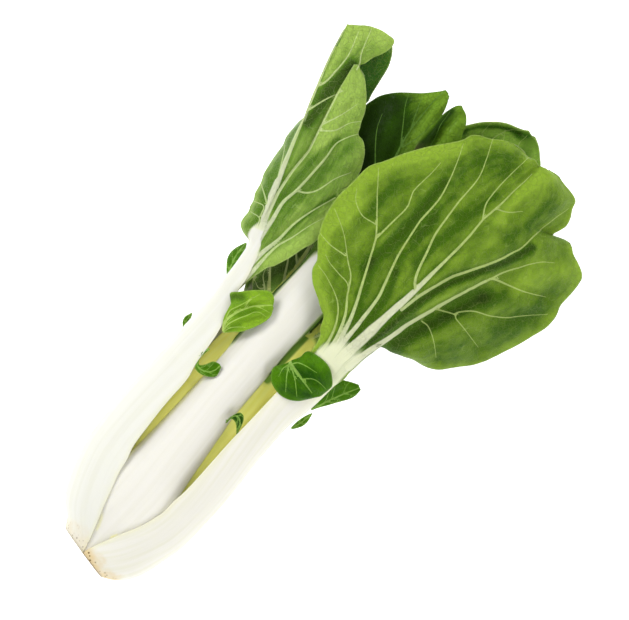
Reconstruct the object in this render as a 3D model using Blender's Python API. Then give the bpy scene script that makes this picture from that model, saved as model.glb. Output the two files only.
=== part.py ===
"""A fresh head of long-stemmed, white-stalked bok choy, lying on its side.

+X runs along the head from its trimmed stem to the leaf tips, +Y is the head's left side, +Z is up.
The head rests on z = 0, and the origin is the middle of its bounding box's bottom.
Lengths are written in millimetres and become metres where a mesh is made.
"""

import math

import bmesh
import bpy
import numpy as np

MM = 0.001

# Driving dimensions of the bundle of stalks
BUNDLE_Y = 2.0  # the bundle's middle line, beside the X axis
STEM_RADIUS = 10.2  # the woody stem that every leaf grows from
STEM_TIP_RADIUS = 7.2
STEM_END = 14.7
BELLY_X = 50.0  # where the bundle is widest
NECK_X = 150.0  # where the outer stalks spread into their blades
CUT_X = -1.0  # where the trimming cut crosses the middle line
CUT_SLOPE = 0.21  # how far the cut runs along X for each unit of Y, about 12 degrees
CUT_FADE = 8.0  # how soon the slope of the cut dies away along the stalks
BLADE_THICKNESS = 1.2
MARGIN_THICKNESS = 1.5  # a stalk's edges, where it is thinnest
GAP = 0.3  # between a stalk's end and the blade that carries on from it

# How the leaves are shaped
BASE_SWING = 1.5  # a higher power keeps a stalk's ridge near its place at the belly for longer
NECK_TURN = 2.2  # a higher power leaves a stalk's turn towards its blade until later
MOST_TURN = 1.2  # how far past its neck a stalk goes on turning, as a share of the turn
MOST_THICK = 0.75  # of a stalk's own radius of curvature
RIB_FADE = 0.7  # how the midrib's thickness dies away towards the tip
RIB_NARROWNESS = 4  # how quickly it dies away to each side
LEAFLET_SWELL = (0.18, 0.93)  # the stretch of a half sine that a leaflet's width follows
LEAFLET_RIB = 1.6
STEM_CHAMFER = 0.8
SHOULDER_FROM_END = 5.0  # the stem tapers between its shoulder and its end
SHOULDER_INSET = 2.2

# Sheet resolution
STALK_RINGS = 12
STALK_FACETS = 8
BLADE_ROWS = 9
BLADE_FACETS = 8
BIG_BLADE_ROWS = 15
BIG_BLADE_FACETS = 14
LEAFLET_ROWS = 5
LEAFLET_FACETS = 4
LEAFLET_POINTS = 9
STEM_FACETS = 24
CURVE_STEPS = 24  # between two given points of a curve
PROFILE_SAMPLES = 200
SHARP_ANGLE = 50  # degrees between two faces whose edge stays sharp

# Profiles along the head, as (x, value)
CENTRE_HEIGHT = [(-4, 28), (20, 28.6), (50, 29), (100, 27), (150, 24.5), (180, 24)]
HALF_HEIGHT = [
    (-4, 13.5), (5, 15.5), (12, 19.5), (20, 24), (30, 27.5), (50, 29.4),
    (100, 27.4), (150, 25), (180, 22),
]
LEFT_SIDE = [
    (-4, 14), (4, 16), (12, 23.5), (17, 27), (32, 33), (50, 37),
    (70, 38), (120, 38), (150, 38.5), (175, 42),
]
RIGHT_SIDE = [
    (-4, 18), (4, 27), (10, 32), (17, 35), (33, 38.7), (50, 40.2),
    (107, 38.2), (130, 39.5), (155, 39.5),
]
OUTER_WIDTH = [
    (-4, 28), (4, 34), (12, 44), (24, 54), (50, 54), (80, 48),
    (100, 45), (130, 34), (150, 22), (175, 14),
]
UNDER_WIDTH = [
    (-4, 20), (4, 23), (12, 36), (24, 52), (50, 54), (80, 48),
    (100, 44), (130, 34), (150, 22), (175, 14),
]
OUTER_THICKNESS = [(-4, 3.6), (12, 5.5), (50, 8.5), (100, 6.5), (150, 4.5), (180, 3)]
TOP_WIDTH = [
    (2, 4), (10, 8), (16, 12), (30, 27), (42, 40), (50, 44),
    (80, 38), (100, 34), (150, 32), (180, 26),
]
TOP_THICKNESS = [(2, 1.8), (12, 3), (50, 7.5), (100, 6), (150, 4.5), (180, 3)]
SECOND_WIDTH = [(8, 10), (20, 26), (50, 34), (100, 30), (150, 18)]
SECOND_THICKNESS = [(8, 2), (20, 3), (50, 5.5), (100, 4.5), (150, 3)]
YOUNG_WIDTH = [(14, 7), (30, 20), (50, 25), (100, 20), (150, 10)]
YOUNG_THICKNESS = [(14, 1.8), (50, 4), (100, 3.4), (150, 2.4)]
HEART_WIDTH = [(13, 4), (30, 9), (60, 12), (95, 13), (118, 5)]
HEART_THICKNESS = [(13, 1.6), (50, 2.2), (118, 1.4)]
# how the rows of leaves close up at the stem
BASE_SQUEEZE = [
    (-4, 0.85), (15, 0.85), (25, 0.92), (40, 1), (180, 1),
]

UP = (0, 0, 0)
DOWN = (180, 180, 180)

WHITE = (0.86, 0.87, 0.78)
YOUNG_GREEN = (0.62, 0.60, 0.16)
LEAF_GREEN = (0.12, 0.27, 0.035)
DEEP_GREEN = (0.035, 0.13, 0.012)
LIGHT_GREEN = (0.25, 0.42, 0.06)
CUT_TAN = (0.62, 0.47, 0.27)


def smooth_curve(points, count):
    """As many evenly spaced points as asked, along a Catmull-Rom curve through the given ones."""
    points = np.array(points, float)
    ends = np.vstack([2 * points[0] - points[1], points, 2 * points[-1] - points[-2]])
    t = np.linspace(0, 1, CURVE_STEPS, endpoint=False)[:, None]
    spans = [
        0.5 * (2 * b + (c - a) * t + (2 * a - 5 * b + 4 * c - d) * t**2 + (3 * b - a - 3 * c + d) * t**3)
        for a, b, c, d in zip(ends, ends[1:], ends[2:], ends[3:])
    ]
    fine = np.vstack(spans + [points[-1:]])
    run = np.concatenate([[0], np.cumsum(np.linalg.norm(np.diff(fine, axis=0), axis=1))])
    at = np.linspace(0, run[-1], count)
    return np.stack([np.interp(at, run, column) for column in fine.T], axis=1)


def profile(table, x):
    """The value at x of the smooth line through a profile's points."""
    line = smooth_curve(table, PROFILE_SAMPLES)
    return np.interp(x, line[:, 0], line[:, 1])


def blade_normals(grid):
    """The normals of a blade, kept square to the X axis along its first row, which meets a stalk's end."""
    along = np.gradient(grid, axis=0)
    across = np.gradient(grid, axis=1)
    normals = np.cross(along, across)
    normals[0, :, 0] = 0
    return normals / np.maximum(np.linalg.norm(normals, axis=2, keepdims=True), 1e-9)


def make_material(name, colour, roughness):
    material = bpy.data.materials.new(name)
    material.use_nodes = True
    shader = material.node_tree.nodes["Principled BSDF"]
    shader.inputs["Base Color"].default_value = (*colour, 1)
    shader.inputs["Roughness"].default_value = roughness
    shader.inputs["Metallic"].default_value = 0
    return material


def finish_part(name, mesh, material):
    """Turns closed mesh work into a named object with that material."""
    bmesh.ops.recalc_face_normals(mesh, faces=mesh.faces)
    data = bpy.data.meshes.new(name)
    mesh.to_mesh(data)
    mesh.free()
    data.materials.append(material)
    data.shade_smooth()
    data.set_sharp_from_angle(angle=math.radians(SHARP_ANGLE))
    part = bpy.data.objects.new(name, data)
    bpy.context.scene.collection.objects.link(part)


def sheet_solid(name, outer, inner, material):
    """A closed solid between two grids of the same size, with nothing below the surface it lies on."""
    rows, columns = outer.shape[:2]
    mesh = bmesh.new()
    sides = []
    for grid in (outer, inner):
        points = grid.reshape(-1, 3) * MM
        points[:, 2] = np.maximum(points[:, 2], 0)
        sides.append([mesh.verts.new(point) for point in points])
    near, far = sides

    def face(side, *corners):
        mesh.faces.new([side[i * columns + j] for i, j in corners])

    for i in range(rows - 1):
        for j in range(columns - 1):
            corners = (i, j), (i + 1, j), (i + 1, j + 1), (i, j + 1)
            face(near, *corners)
            face(far, *reversed(corners))
    rim = [(i, 0) for i in range(rows)] + [(rows - 1, j) for j in range(1, columns)]
    rim += [(i, columns - 1) for i in range(rows - 2, -1, -1)] + [(0, j) for j in range(columns - 2, 0, -1)]
    for (i, j), (k, l) in zip(rim, rim[1:] + rim[:1]):
        a, b = i * columns + j, k * columns + l
        mesh.faces.new([near[b], near[a], far[a], far[b]])
    finish_part(name, mesh, material)


def stalk(name, material, start, end, place, face, depth, width, thickness, wrap, side=LEFT_SIDE, rise=0.0):
    """A stalk is a gutter that wraps the bundle, thick in the middle and thin at its two edges.

    place and face are the angles from +Z towards +Y of its ridge round the bundle and of the way the ridge
    faces, at its base, at the bundle's belly and at its neck. depth is how far its ridge lies inside the
    bundle's skin, wrap is half the angle that it bends through, and rise is how far its top end stands
    above the skin. It returns its end's two edges and ridge, from the head's right side to its left.
    """
    x = np.linspace(start, end, STALK_RINGS)
    swing = np.clip((BELLY_X - x) / (BELLY_X - CUT_X), 0, 1) ** BASE_SWING
    turn = np.clip((x - BELLY_X) / (NECK_X - BELLY_X), 0, MOST_TURN) ** NECK_TURN
    place, face = (np.radians(b + (a - b) * swing + (c - b) * turn) for a, b, c in (place, face))
    inset = depth * profile(BASE_SQUEEZE, x)
    ridge_y = BUNDLE_Y + (profile(side, x) - inset) * np.sin(place)
    ridge_z = profile(CENTRE_HEIGHT, x) + (profile(HALF_HEIGHT, x) - inset) * np.cos(place) + rise * turn
    radius = profile(width, x) / 2 / math.radians(wrap)
    across = np.linspace(-1, 1, STALK_FACETS + 1)
    angle = face[:, None] + math.radians(wrap) * across
    middle_y = (ridge_y - radius * np.sin(face))[:, None]
    middle_z = (ridge_z - radius * np.cos(face))[:, None]
    thick = MARGIN_THICKNESS + (profile(thickness, x)[:, None] - MARGIN_THICKNESS) * (1 - across**2)
    thick = np.minimum(thick, radius[:, None] * MOST_THICK)
    grids = []
    for distance in (radius[:, None], radius[:, None] - thick):
        y = middle_y + distance * np.sin(angle)
        z = middle_z + distance * np.cos(angle)
        slant = CUT_SLOPE * (y - BUNDLE_Y) * np.exp(-(x - CUT_X) / CUT_FADE)[:, None]
        grids.append(np.stack([np.broadcast_to(x[:, None], y.shape) + slant, y, z], axis=2))
    sheet_solid(name, *grids, material)
    neck = (grids[0][-1] + grids[1][-1])[:: STALK_FACETS // 2] / 2
    return sorted(neck, key=lambda point: point[1])


def blade(name, material, neck, midrib, left, right, arch, size=(BLADE_ROWS, BLADE_FACETS), rib=2.5):
    """A leaf blade stretched over its midrib and its two margins.

    neck is the end of the stalk that it carries on from, and the midrib and margins are lists of points from
    there to the tip. arch is how far the halves swell above the straight lines between them, and rib is how
    thick the blade is along its midrib at the neck.
    """
    rows, facets = size
    lines = [[start + (GAP, 0, 0), *line] for start, line in zip(neck, (right, midrib, left))]
    right, midrib, left = (smooth_curve(line, rows) for line in lines)
    across = np.linspace(-1, 1, facets + 1)
    share = np.abs(across)[None, :, None]
    margin = np.where(across[None, :, None] > 0, left[:, None], right[:, None])
    grid = midrib[:, None] * (1 - share) + margin * share
    grid += blade_normals(grid) * arch * 4 * share * (1 - share)
    fade = np.linspace(1, 0, rows)[:, None] ** RIB_FADE
    thick = BLADE_THICKNESS + (rib - BLADE_THICKNESS) * fade * (1 - share[:, :, 0]) ** RIB_NARROWNESS
    offset = blade_normals(grid) * thick[:, :, None] / 2
    sheet_solid(name, grid - offset, grid + offset, material)


def leaflet(name, material, midrib, half_width, arch, lean=0.0):
    """A small leaf that grows on a stalk's edge: a blade whose margins follow a half sine round its midrib.

    lean is the angle in degrees that its flat side is turned about its midrib.
    """
    spine = smooth_curve(midrib, LEAFLET_POINTS)
    heading = spine[-1] - spine[0]
    flat = np.array([-heading[1], heading[0], 0]) / math.hypot(heading[0], heading[1])
    aside = flat * math.cos(math.radians(lean)) + np.array([0, 0, math.sin(math.radians(lean))])
    swell = np.sin(np.linspace(*LEAFLET_SWELL, LEAFLET_POINTS) * math.pi)[:, None] * half_width
    lines = spine - aside * swell, spine, spine + aside * swell
    neck = [line[0] - (GAP, 0, 0) for line in lines]
    right, midrib, left = (line[1:] for line in lines)
    blade(name, material, neck, midrib, left, right, arch, (LEAFLET_ROWS, LEAFLET_FACETS), LEAFLET_RIB)


def stem(name, material):
    """The short stem, a cone that the stalks close round, with the flat face of the trimming cut."""
    rings = [
        (CUT_X, STEM_RADIUS - STEM_CHAMFER),
        (CUT_X + STEM_CHAMFER, STEM_RADIUS),
        (STEM_END - SHOULDER_FROM_END, STEM_RADIUS - SHOULDER_INSET),
        (STEM_END, STEM_TIP_RADIUS),
    ]
    turns = np.linspace(0, 2 * math.pi, STEM_FACETS, endpoint=False)
    mesh = bmesh.new()
    loops = []
    for x, radius in rings:
        y = BUNDLE_Y + radius * np.sin(turns)
        z = profile(CENTRE_HEIGHT, x) + radius * np.cos(turns)
        slant = CUT_SLOPE * (y - BUNDLE_Y) * math.exp(-(x - CUT_X) / CUT_FADE)
        loops.append([mesh.verts.new(point) for point in np.stack([x + slant, y, z], axis=1) * MM])
    for first, second in zip(loops, loops[1:]):
        for i in range(len(turns)):
            mesh.faces.new([first[i], first[i - 1], second[i - 1], second[i]])
    mesh.faces.new(loops[0])
    mesh.faces.new(reversed(loops[-1]))
    finish_part(name, mesh, material)


def outer_leaves(white, green):
    """Three old leaves make the bundle's skin: one at each side, and one under it that the head lies on."""
    big = (BIG_BLADE_ROWS, BIG_BLADE_FACETS)
    neck = stalk(
        "left_outer_stalk",
        white,
        CUT_X,
        172,
        (62, 67, 74),
        (59, 67, 56),
        0,
        OUTER_WIDTH,
        OUTER_THICKNESS,
        54,
        rise=9,
    )
    blade(
        "left_outer_blade",
        green,
        neck,
        midrib=[
            (190, 47.5, 45),
            (210, 55, 47),
            (240, 66, 48),
            (265, 74.5, 46),
            (288, 79, 42),
            (297, 68, 40),
        ],
        left=[
            (190, 53, 34),
            (210, 58, 30),
            (230, 58, 27),
            (252, 53, 27),
            (275, 48, 30),
            (297, 57, 35),
        ],
        right=[
            (185, 22, 44.5),
            (208, 17, 43),
            (235, 25, 42),
            (252, 38, 41.5),
            (272, 55, 41),
            (298, 61, 38),
        ],
        arch=-4,
        size=big,
        rib=4,
    )
    neck = stalk(
        "right_outer_stalk",
        white,
        CUT_X,
        NECK_X,
        (-62, -67, -56),
        (-57, -71, -36),
        0,
        OUTER_WIDTH,
        OUTER_THICKNESS,
        53,
        RIGHT_SIDE,
        rise=8,
    )
    blade(
        "right_outer_blade",
        green,
        neck,
        midrib=[
            (170, -32, 50),
            (190, -34, 53),
            (210, -35.5, 54),
            (245, -37.5, 54),
            (270, -38, 51),
            (301, -37, 44),
        ],
        left=[
            (167, -12.7, 53),
            (180, 6, 55),
            (200, 20, 54),
            (222, 25.5, 52),
            (250, 20, 51),
            (280, 1, 50),
            (300, -25, 45),
            (301, -34, 44),
        ],
        right=[
            (172, -41, 42),
            (184, -54, 33),
            (196, -76, 18),
            (220, -90, 9),
            (250, -98, 6),
            (275, -92, 9),
            (285, -72, 22),
            (303, -51, 37),
            (301.5, -41, 43),
        ],
        arch=5,
        size=big,
        rib=5,
    )
    neck = stalk(
        "under_stalk", white, CUT_X, NECK_X, (180, 180, 182), DOWN, -0.5, UNDER_WIDTH, OUTER_THICKNESS, 50
    )
    blade(
        "under_blade",
        green,
        neck,
        midrib=[(200, -6, 0.4), (250, -14, 0.4), (285, -19, 1.5), (308, -23, 4)],
        left=[(180, 27, 6), (220, 33, 6), (262, 18, 6), (290, 3, 6), (309, -17, 7)],
        right=[(180, -26, 6), (220, -42, 6), (262, -50, 6), (290, -46, 6), (308, -30, 7)],
        arch=-0.8,
    )


def second_leaves(white, green):
    """Three leaves of the second row lie in the gaps between the outer ones."""
    neck = stalk("top_stalk", white, 3, 178, (-9, -4, 3), (-4, -2, 0), 2.6, TOP_WIDTH, TOP_THICKNESS, 74)
    blade(
        "top_blade",
        green,
        neck,
        midrib=[(200, 6, 41.5), (230, 11, 38), (255, 16, 36), (278, 21, 34), (297, 21, 33)],
        left=[(195, 18, 38), (215, 31, 36), (240, 41, 34), (262, 46, 33), (278, 41, 33), (298, 25, 34)],
        right=[(195, -9, 37), (215, -12, 36), (240, -10, 35), (265, -2, 34), (285, 6, 34), (297, 16, 34)],
        arch=2,
    )
    for side, name in ((1, "left"), (-1, "right")):
        place, face = (side * 116, side * 116, side * 112), (side * 116, side * 116, side * 118)
        neck = stalk(
            f"lower_{name}_stalk", white, 10, NECK_X, place, face, 11.5, SECOND_WIDTH, SECOND_THICKNESS, 50
        )
        if side > 0:
            blade(
                "lower_left_blade",
                green,
                neck,
                midrib=[(190, 34, 13), (230, 42, 9), (265, 50, 8), (286, 57, 8)],
                left=[(190, 47, 11), (230, 58, 3), (262, 65, 1), (284, 66, 3)],
                right=[(190, 15, 14), (230, 22, 13), (265, 36, 12), (284, 50, 10)],
                arch=2,
            )
        else:
            blade(
                "lower_right_blade",
                green,
                neck,
                midrib=[(190, -37, 13), (225, -53, 9), (255, -66, 7), (266, -72, 7)],
                left=[(190, -18, 14), (225, -27, 13), (255, -43, 12), (268, -62, 9)],
                right=[(178, -40, 16), (200, -60, 5), (225, -76, 1), (250, -84, 1), (264, -80, 3)],
                arch=2,
            )


def young_leaves(pale, green):
    """The third row is yellow-green and half as large, and shows in the slots beside the top stalk."""
    for side, name in ((1, "left"), (-1, "right")):
        place, face = (side * 46, side * 46, side * 30), (side * 46, side * 46, side * 20)
        neck = stalk(
            f"inner_{name}_stalk", pale, 15, NECK_X, place, face, 17, YOUNG_WIDTH, YOUNG_THICKNESS, 55
        )
        blade(
            f"inner_{name}_blade",
            green,
            neck,
            midrib=[(175, side * 15 + 2, 29), (205, side * 19 + 2, 27), (232, side * 22, 26)],
            left=[(175, side * 15 + 14, 27), (205, side * 19 + 18, 25), (230, side * 22 + 5, 25)],
            right=[(175, side * 15 - 9, 27), (205, side * 19 - 12, 25), (230, side * 22 - 5, 25)],
            arch=1.5,
            rib=2,
        )
    neck = stalk(
        "inner_under_stalk", pale, 15, NECK_X, DOWN, DOWN, 17, YOUNG_WIDTH, YOUNG_THICKNESS, 50
    )
    blade(
        "inner_under_blade",
        green,
        neck,
        midrib=[(180, 1, 17), (215, -1, 17), (244, -3, 18)],
        left=[(175, 18, 20), (210, 21, 20), (243, 5, 19)],
        right=[(175, -16, 20), (210, -22, 20), (243, -11, 19)],
        arch=-1,
        rib=2,
    )


def heart_leaves(pale):
    """Two small leaves face each other in the middle, round the bud that new leaves come from."""
    stalk("heart_leaf_upper", pale, 15, 118, UP, UP, 21, HEART_WIDTH, HEART_THICKNESS, 55)
    stalk("heart_leaf_lower", pale, 15, 104, DOWN, DOWN, 22, HEART_WIDTH, HEART_THICKNESS, 55)
    leaflet("heart_bud", pale, [(15, 2, 28.6), (45, 2, 28.8), (78, 2, 28)], 2.2, 0.4)


def leaflets(light, deep):
    """Small leaves that grow here and there on the edges of the stalks."""
    leaflet("leaflet_left_large", light, [(129, 20.6, 48.7), (143, 23, 50), (161, 17, 49)], 10, 2.5)
    leaflet("leaflet_left_curl", deep, [(118, 19.7, 49.2), (112, 14.6, 50.5), (107, 11.5, 49.5)], 3.8, 1.5)
    leaflet("leaflet_slot_curl", deep, [(97, -12.9, 52.6), (101, -11.5, 52.4), (106, -11, 51)], 2.5, 0.8)
    midrib = [(154, 42.2, 29.6), (163, 46, 28.5), (172, 46.8, 29)]
    leaflet("leaflet_left_back", deep, midrib, 3.2, 0.8, lean=-60)
    midrib = [(118, 39.3, 19.8), (122.5, 41, 19.8), (127, 41.2, 20)]
    leaflet("leaflet_left_low", deep, midrib, 1.8, 0.3, lean=30)
    midrib = [(141, -10, 50.5), (140, -22, 53.3), (139, -35, 48)]
    leaflet("leaflet_right_round", deep, midrib, 14, 2, lean=4)
    midrib = [(131, -37.5, 27), (144, -43, 25), (157, -46.5, 24)]
    leaflet("leaflet_right_back", deep, midrib, 4.5, 0.8, lean=-20)
    midrib = [(117, -35.9, 22.4), (123, -37.8, 22), (130, -38.7, 22)]
    leaflet("leaflet_right_low", deep, midrib, 2, 0.3, lean=-30)


def centre_over_base():
    """Moves every mesh so that the origin is the middle of the whole head's bottom."""
    parts = list(bpy.context.scene.objects)
    points = np.array([vertex.co for part in parts for vertex in part.data.vertices])
    low, high = points.min(axis=0), points.max(axis=0)
    shift = -np.array([(low[0] + high[0]) / 2, (low[1] + high[1]) / 2, low[2]])
    for part in parts:
        for vertex in part.data.vertices:
            vertex.co = np.array(vertex.co) + shift


for old in list(bpy.data.objects):
    bpy.data.objects.remove(old, do_unlink=True)

white = make_material("stalk_white", WHITE, 0.35)
green = make_material("blade_green", LEAF_GREEN, 0.42)
stem("root_base", make_material("cut_stem", CUT_TAN, 0.7))
outer_leaves(white, green)
second_leaves(white, green)
pale = make_material("stalk_yellow_green", YOUNG_GREEN, 0.4)
young_leaves(pale, make_material("young_green", LIGHT_GREEN, 0.42))
heart_leaves(pale)
leaflets(make_material("leaflet_light", LIGHT_GREEN, 0.42), make_material("leaflet_deep", DEEP_GREEN, 0.3))
centre_over_base()
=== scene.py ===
"""A fresh head of long-stemmed, white-stalked bok choy, lying on its side under a soft studio light.

+X runs along the head from its trimmed stem to the leaf tips, +Y is the head's left side and +Z is up.
Lengths along the head are written in millimetres from the trimming cut, and become metres in the meshes.
"""

import math

import bmesh
import bpy
import numpy as np
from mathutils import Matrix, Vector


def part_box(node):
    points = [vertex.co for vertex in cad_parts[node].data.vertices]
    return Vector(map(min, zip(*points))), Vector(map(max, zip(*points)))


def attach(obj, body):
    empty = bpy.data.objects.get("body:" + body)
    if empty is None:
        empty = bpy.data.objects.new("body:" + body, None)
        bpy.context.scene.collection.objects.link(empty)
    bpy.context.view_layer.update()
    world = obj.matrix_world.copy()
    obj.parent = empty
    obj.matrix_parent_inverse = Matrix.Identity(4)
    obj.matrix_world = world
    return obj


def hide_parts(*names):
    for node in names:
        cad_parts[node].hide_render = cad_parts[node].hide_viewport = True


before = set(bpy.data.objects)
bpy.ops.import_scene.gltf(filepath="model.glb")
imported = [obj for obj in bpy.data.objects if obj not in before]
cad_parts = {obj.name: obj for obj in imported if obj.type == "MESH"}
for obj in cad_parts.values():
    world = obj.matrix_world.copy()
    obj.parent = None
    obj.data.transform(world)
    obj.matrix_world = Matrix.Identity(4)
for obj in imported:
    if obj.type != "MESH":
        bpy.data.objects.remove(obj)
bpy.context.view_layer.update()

MM = 0.001
BUNDLE_Y = 2.0  # the middle line of the bundle of stalks
LEFT_STALK_END = 172.0  # where the left outer stalk ends, along the head
# what carries a place on the head, in metres, into the shared frame
HEAD_SHIFT = np.array([
    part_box("left_outer_stalk")[1][0] - LEFT_STALK_END * MM,
    (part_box("root_base")[0][1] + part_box("root_base")[1][1]) / 2 - BUNDLE_Y * MM,
    0.0,
])

# ---------------------------------------------------------------------------------------------------
# The trimmed stem: a short woody cone that every leaf grows from. A knife has cut its end flat, and
# the face has dried to a fibrous tan with a darker skin and dots where the leaf veins ran.

CUT_X = -1.0  # where the trimming cut crosses the middle line
CUT_SLOPE = 0.21  # how far the cut runs along X for each unit of Y
CUT_FADE = 8.0  # how soon the slope of the cut dies away along the stalks
CENTRE_HEIGHT = [(-4, 28), (20, 28.6), (50, 29), (100, 27), (150, 24.5), (180, 24)]  # of the bundle, by X
STEM_PROFILE = [
    (-1.0, 0.0), (-1.3, 4.0), (-1.1, 7.5), (-0.9, 9.4), (-0.2, 10.2), (3, 10), (9, 8.2), (14.7, 7),
]
STEM_TURNS = 96
STEM_RINGS = 60
STEM_LOBE = 0.025  # the share of its radius that the leaf bases push the stem's skin in and out
STEM_RIM = 10.0  # the radius where the cut face turns into the skin
STEM_RIM_WIDTH = 0.5
FIBRE_TAN = (0.66, 0.50, 0.27)
FIBRE_PALE = (0.82, 0.74, 0.52)
FIBRE_BROWN = (0.36, 0.25, 0.12)
VEIN_END_BROWN = (0.23, 0.12, 0.045)
DRY_SKIN_BROWN = (0.30, 0.22, 0.13)
MIX_SHARE, MIX_FIRST, MIX_SECOND, MIX_RESULT = 0, 6, 7, 2  # the colour sockets of a mix node


def run_along(line):
    """How far along a line each of its points lies."""
    return np.concatenate([[0], np.cumsum(np.linalg.norm(np.diff(line, axis=0), axis=1))])


def smooth_line(points, count):
    """As many evenly spaced points as asked, along a Catmull-Rom curve through the given ones."""
    points = np.array(points, float)
    ends = np.vstack([2 * points[0] - points[1], points, 2 * points[-1] - points[-2]])
    t = np.linspace(0, 1, 20, endpoint=False)[:, None]
    spans = [
        0.5 * (2 * b + (c - a) * t + (2 * a - 5 * b + 4 * c - d) * t**2 + (3 * b - a - 3 * c + d) * t**3)
        for a, b, c, d in zip(ends, ends[1:], ends[2:], ends[3:])
    ]
    fine = np.vstack(spans + [points[-1:]])
    run = run_along(fine)
    at = np.linspace(0, run[-1], count)
    return np.stack([np.interp(at, run, column) for column in fine.T], axis=1)


def profile(table, x):
    """The value at x of the smooth line through a profile's points."""
    line = smooth_line(table, 200)
    return np.interp(x, line[:, 0], line[:, 1])


def node(tree, kind, inputs=None, **settings):
    """Adds a node with its settings. inputs maps a socket's name or number to a value or to what feeds it."""
    made = tree.nodes.new(kind)
    for key, value in settings.items():
        setattr(made, key, value)
    for key, value in (inputs or {}).items():
        if isinstance(value, bpy.types.NodeSocket):
            tree.links.new(value, made.inputs[key])
        else:
            made.inputs[key].default_value = value
    return made


def tree_of(*values):
    """The node tree that the sockets among the values belong to."""
    return next(value.id_data for value in values if isinstance(value, bpy.types.NodeSocket))


def math_node(operation, *values, clamp=False):
    """The result of one sum, where each value is a number or a socket."""
    inputs = dict(enumerate(values))
    return node(tree_of(*values), "ShaderNodeMath", inputs, operation=operation, use_clamp=clamp).outputs[0]


def times(first, second):
    """The product of two values."""
    return math_node("MULTIPLY", first, second)


def plus(first, second, clamp=False):
    """The sum of two values."""
    return math_node("ADD", first, second, clamp=clamp)


def minus(first, second, clamp=False):
    """The first value less the second."""
    return math_node("SUBTRACT", first, second, clamp=clamp)


def vector_node(operation, *values):
    """The result of one sum of vectors."""
    made = node(tree_of(*values), "ShaderNodeVectorMath", dict(enumerate(values)), operation=operation)
    return made.outputs["Value" if operation == "DOT_PRODUCT" else "Vector"]


def combine(x, y, z):
    """A vector from its three parts."""
    return node(tree_of(x, y, z), "ShaderNodeCombineXYZ", {"X": x, "Y": y, "Z": z}).outputs["Vector"]


def point_value(tree, name):
    """A number that the mesh holds at its points."""
    return node(tree, "ShaderNodeAttribute", attribute_name=name).outputs["Fac"]


def object_place(tree):
    """The place on the object."""
    return node(tree, "ShaderNodeTexCoord").outputs["Object"]


def ramp(value, start, end, low=0.0, high=1.0):
    """A smooth step of a value: low at start, high at end."""
    inputs = {"Value": value, "From Min": start, "From Max": end, "To Min": low, "To Max": high}
    made = node(tree_of(value), "ShaderNodeMapRange", inputs, interpolation_type="SMOOTHSTEP")
    return made.outputs["Result"]


def blend(share, first, second):
    """The mix of two colours, each a socket or three linear values."""
    tree = tree_of(share)
    made = node(tree, "ShaderNodeMix", {MIX_SHARE: share}, data_type="RGBA", clamp_factor=True)
    for key, value in ((MIX_FIRST, first), (MIX_SECOND, second)):
        if isinstance(value, bpy.types.NodeSocket):
            tree.links.new(value, made.inputs[key])
        else:
            made.inputs[key].default_value = (*value, 1)
    return made.outputs[MIX_RESULT]


def noise(vector, scale, detail=2.0):
    """Soft noise between 0 and 1."""
    inputs = {"Vector": vector, "Scale": scale, "Detail": detail}
    return node(tree_of(vector), "ShaderNodeTexNoise", inputs).outputs["Fac"]


def new_material(name, roughness, **uniform):
    """A material with its tree, its shader and its surface settings that are the same all over."""
    material = bpy.data.materials.new(name)
    material.use_nodes = True
    shader = material.node_tree.nodes["Principled BSDF"]
    shader.inputs["Roughness"].default_value = roughness
    for key, value in uniform.items():
        shader.inputs[key.replace("_", " ")].default_value = value
    return material, material.node_tree, shader


def bump(height, distance, strength=1.0, under=None):
    """The normal from a height between 0 and 1 that stands for a distance in metres."""
    inputs = {"Height": height, "Distance": distance, "Strength": strength}
    if under:
        inputs["Normal"] = under
    return node(tree_of(height), "ShaderNodeBump", inputs).outputs["Normal"]


def cut_material():
    """Dry tan fibre with pale clouds, brown dots of vein ends, dark fibre grain, and a grey-brown rim."""
    material, tree, shader = new_material("cut_stem_fibre", 0.7)
    place = object_place(tree)
    cloud = noise(place, 160, 4)
    grain = noise(place, 1400, 3)
    dots = node(tree, "ShaderNodeTexVoronoi", {"Vector": place, "Scale": 420}).outputs["Distance"]
    dot = ramp(dots, 0.16, 0.3, 1, 0)
    colour = blend(ramp(cloud, 0.3, 0.7), FIBRE_TAN, FIBRE_PALE)
    colour = blend(times(dot, 0.75), colour, VEIN_END_BROWN)
    colour = blend(ramp(grain, 0.5, 0.75, 0, 0.35), colour, FIBRE_BROWN)
    colour = blend(point_value(tree, "rim"), colour, DRY_SKIN_BROWN)
    tree.links.new(colour, shader.inputs["Base Color"])
    height = plus(grain, times(dot, 0.8))
    tree.links.new(bump(height, 0.0003), shader.inputs["Normal"])
    return material


def add_object(name, data):
    """A new object in the scene."""
    made = bpy.data.objects.new(name, data)
    bpy.context.scene.collection.objects.link(made)
    return made


def finish_piece(piece, slot, *nodes):
    """Puts a finished piece on the head's one body, in the place of the parts that it shows."""
    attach(piece, "root")
    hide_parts(*nodes)


def stem_loops(mesh, rim):
    """The rings of points of the stem's skin, from the middle of its cut face to its inner end."""
    turns = np.linspace(0, 2 * math.pi, STEM_TURNS, endpoint=False)
    lobes = 1 + STEM_LOBE * (np.sin(3 * turns + 0.6) + 0.6 * np.sin(7 * turns))
    loops = []
    for x, radius in smooth_line(STEM_PROFILE, STEM_RINGS)[1:]:
        y = BUNDLE_Y + radius * lobes * np.sin(turns)
        z = profile(CENTRE_HEIGHT, x) + radius * lobes * np.cos(turns)
        slant = CUT_SLOPE * (y - BUNDLE_Y) * math.exp(-(x - CUT_X) / CUT_FADE)
        loop = [mesh.verts.new(point) for point in np.stack([x + slant, y, z], axis=1) * MM]
        for vertex in loop:
            vertex[rim] = math.exp(-(((radius - STEM_RIM) / STEM_RIM_WIDTH) ** 2))
        loops.append(loop)
    return loops


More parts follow.
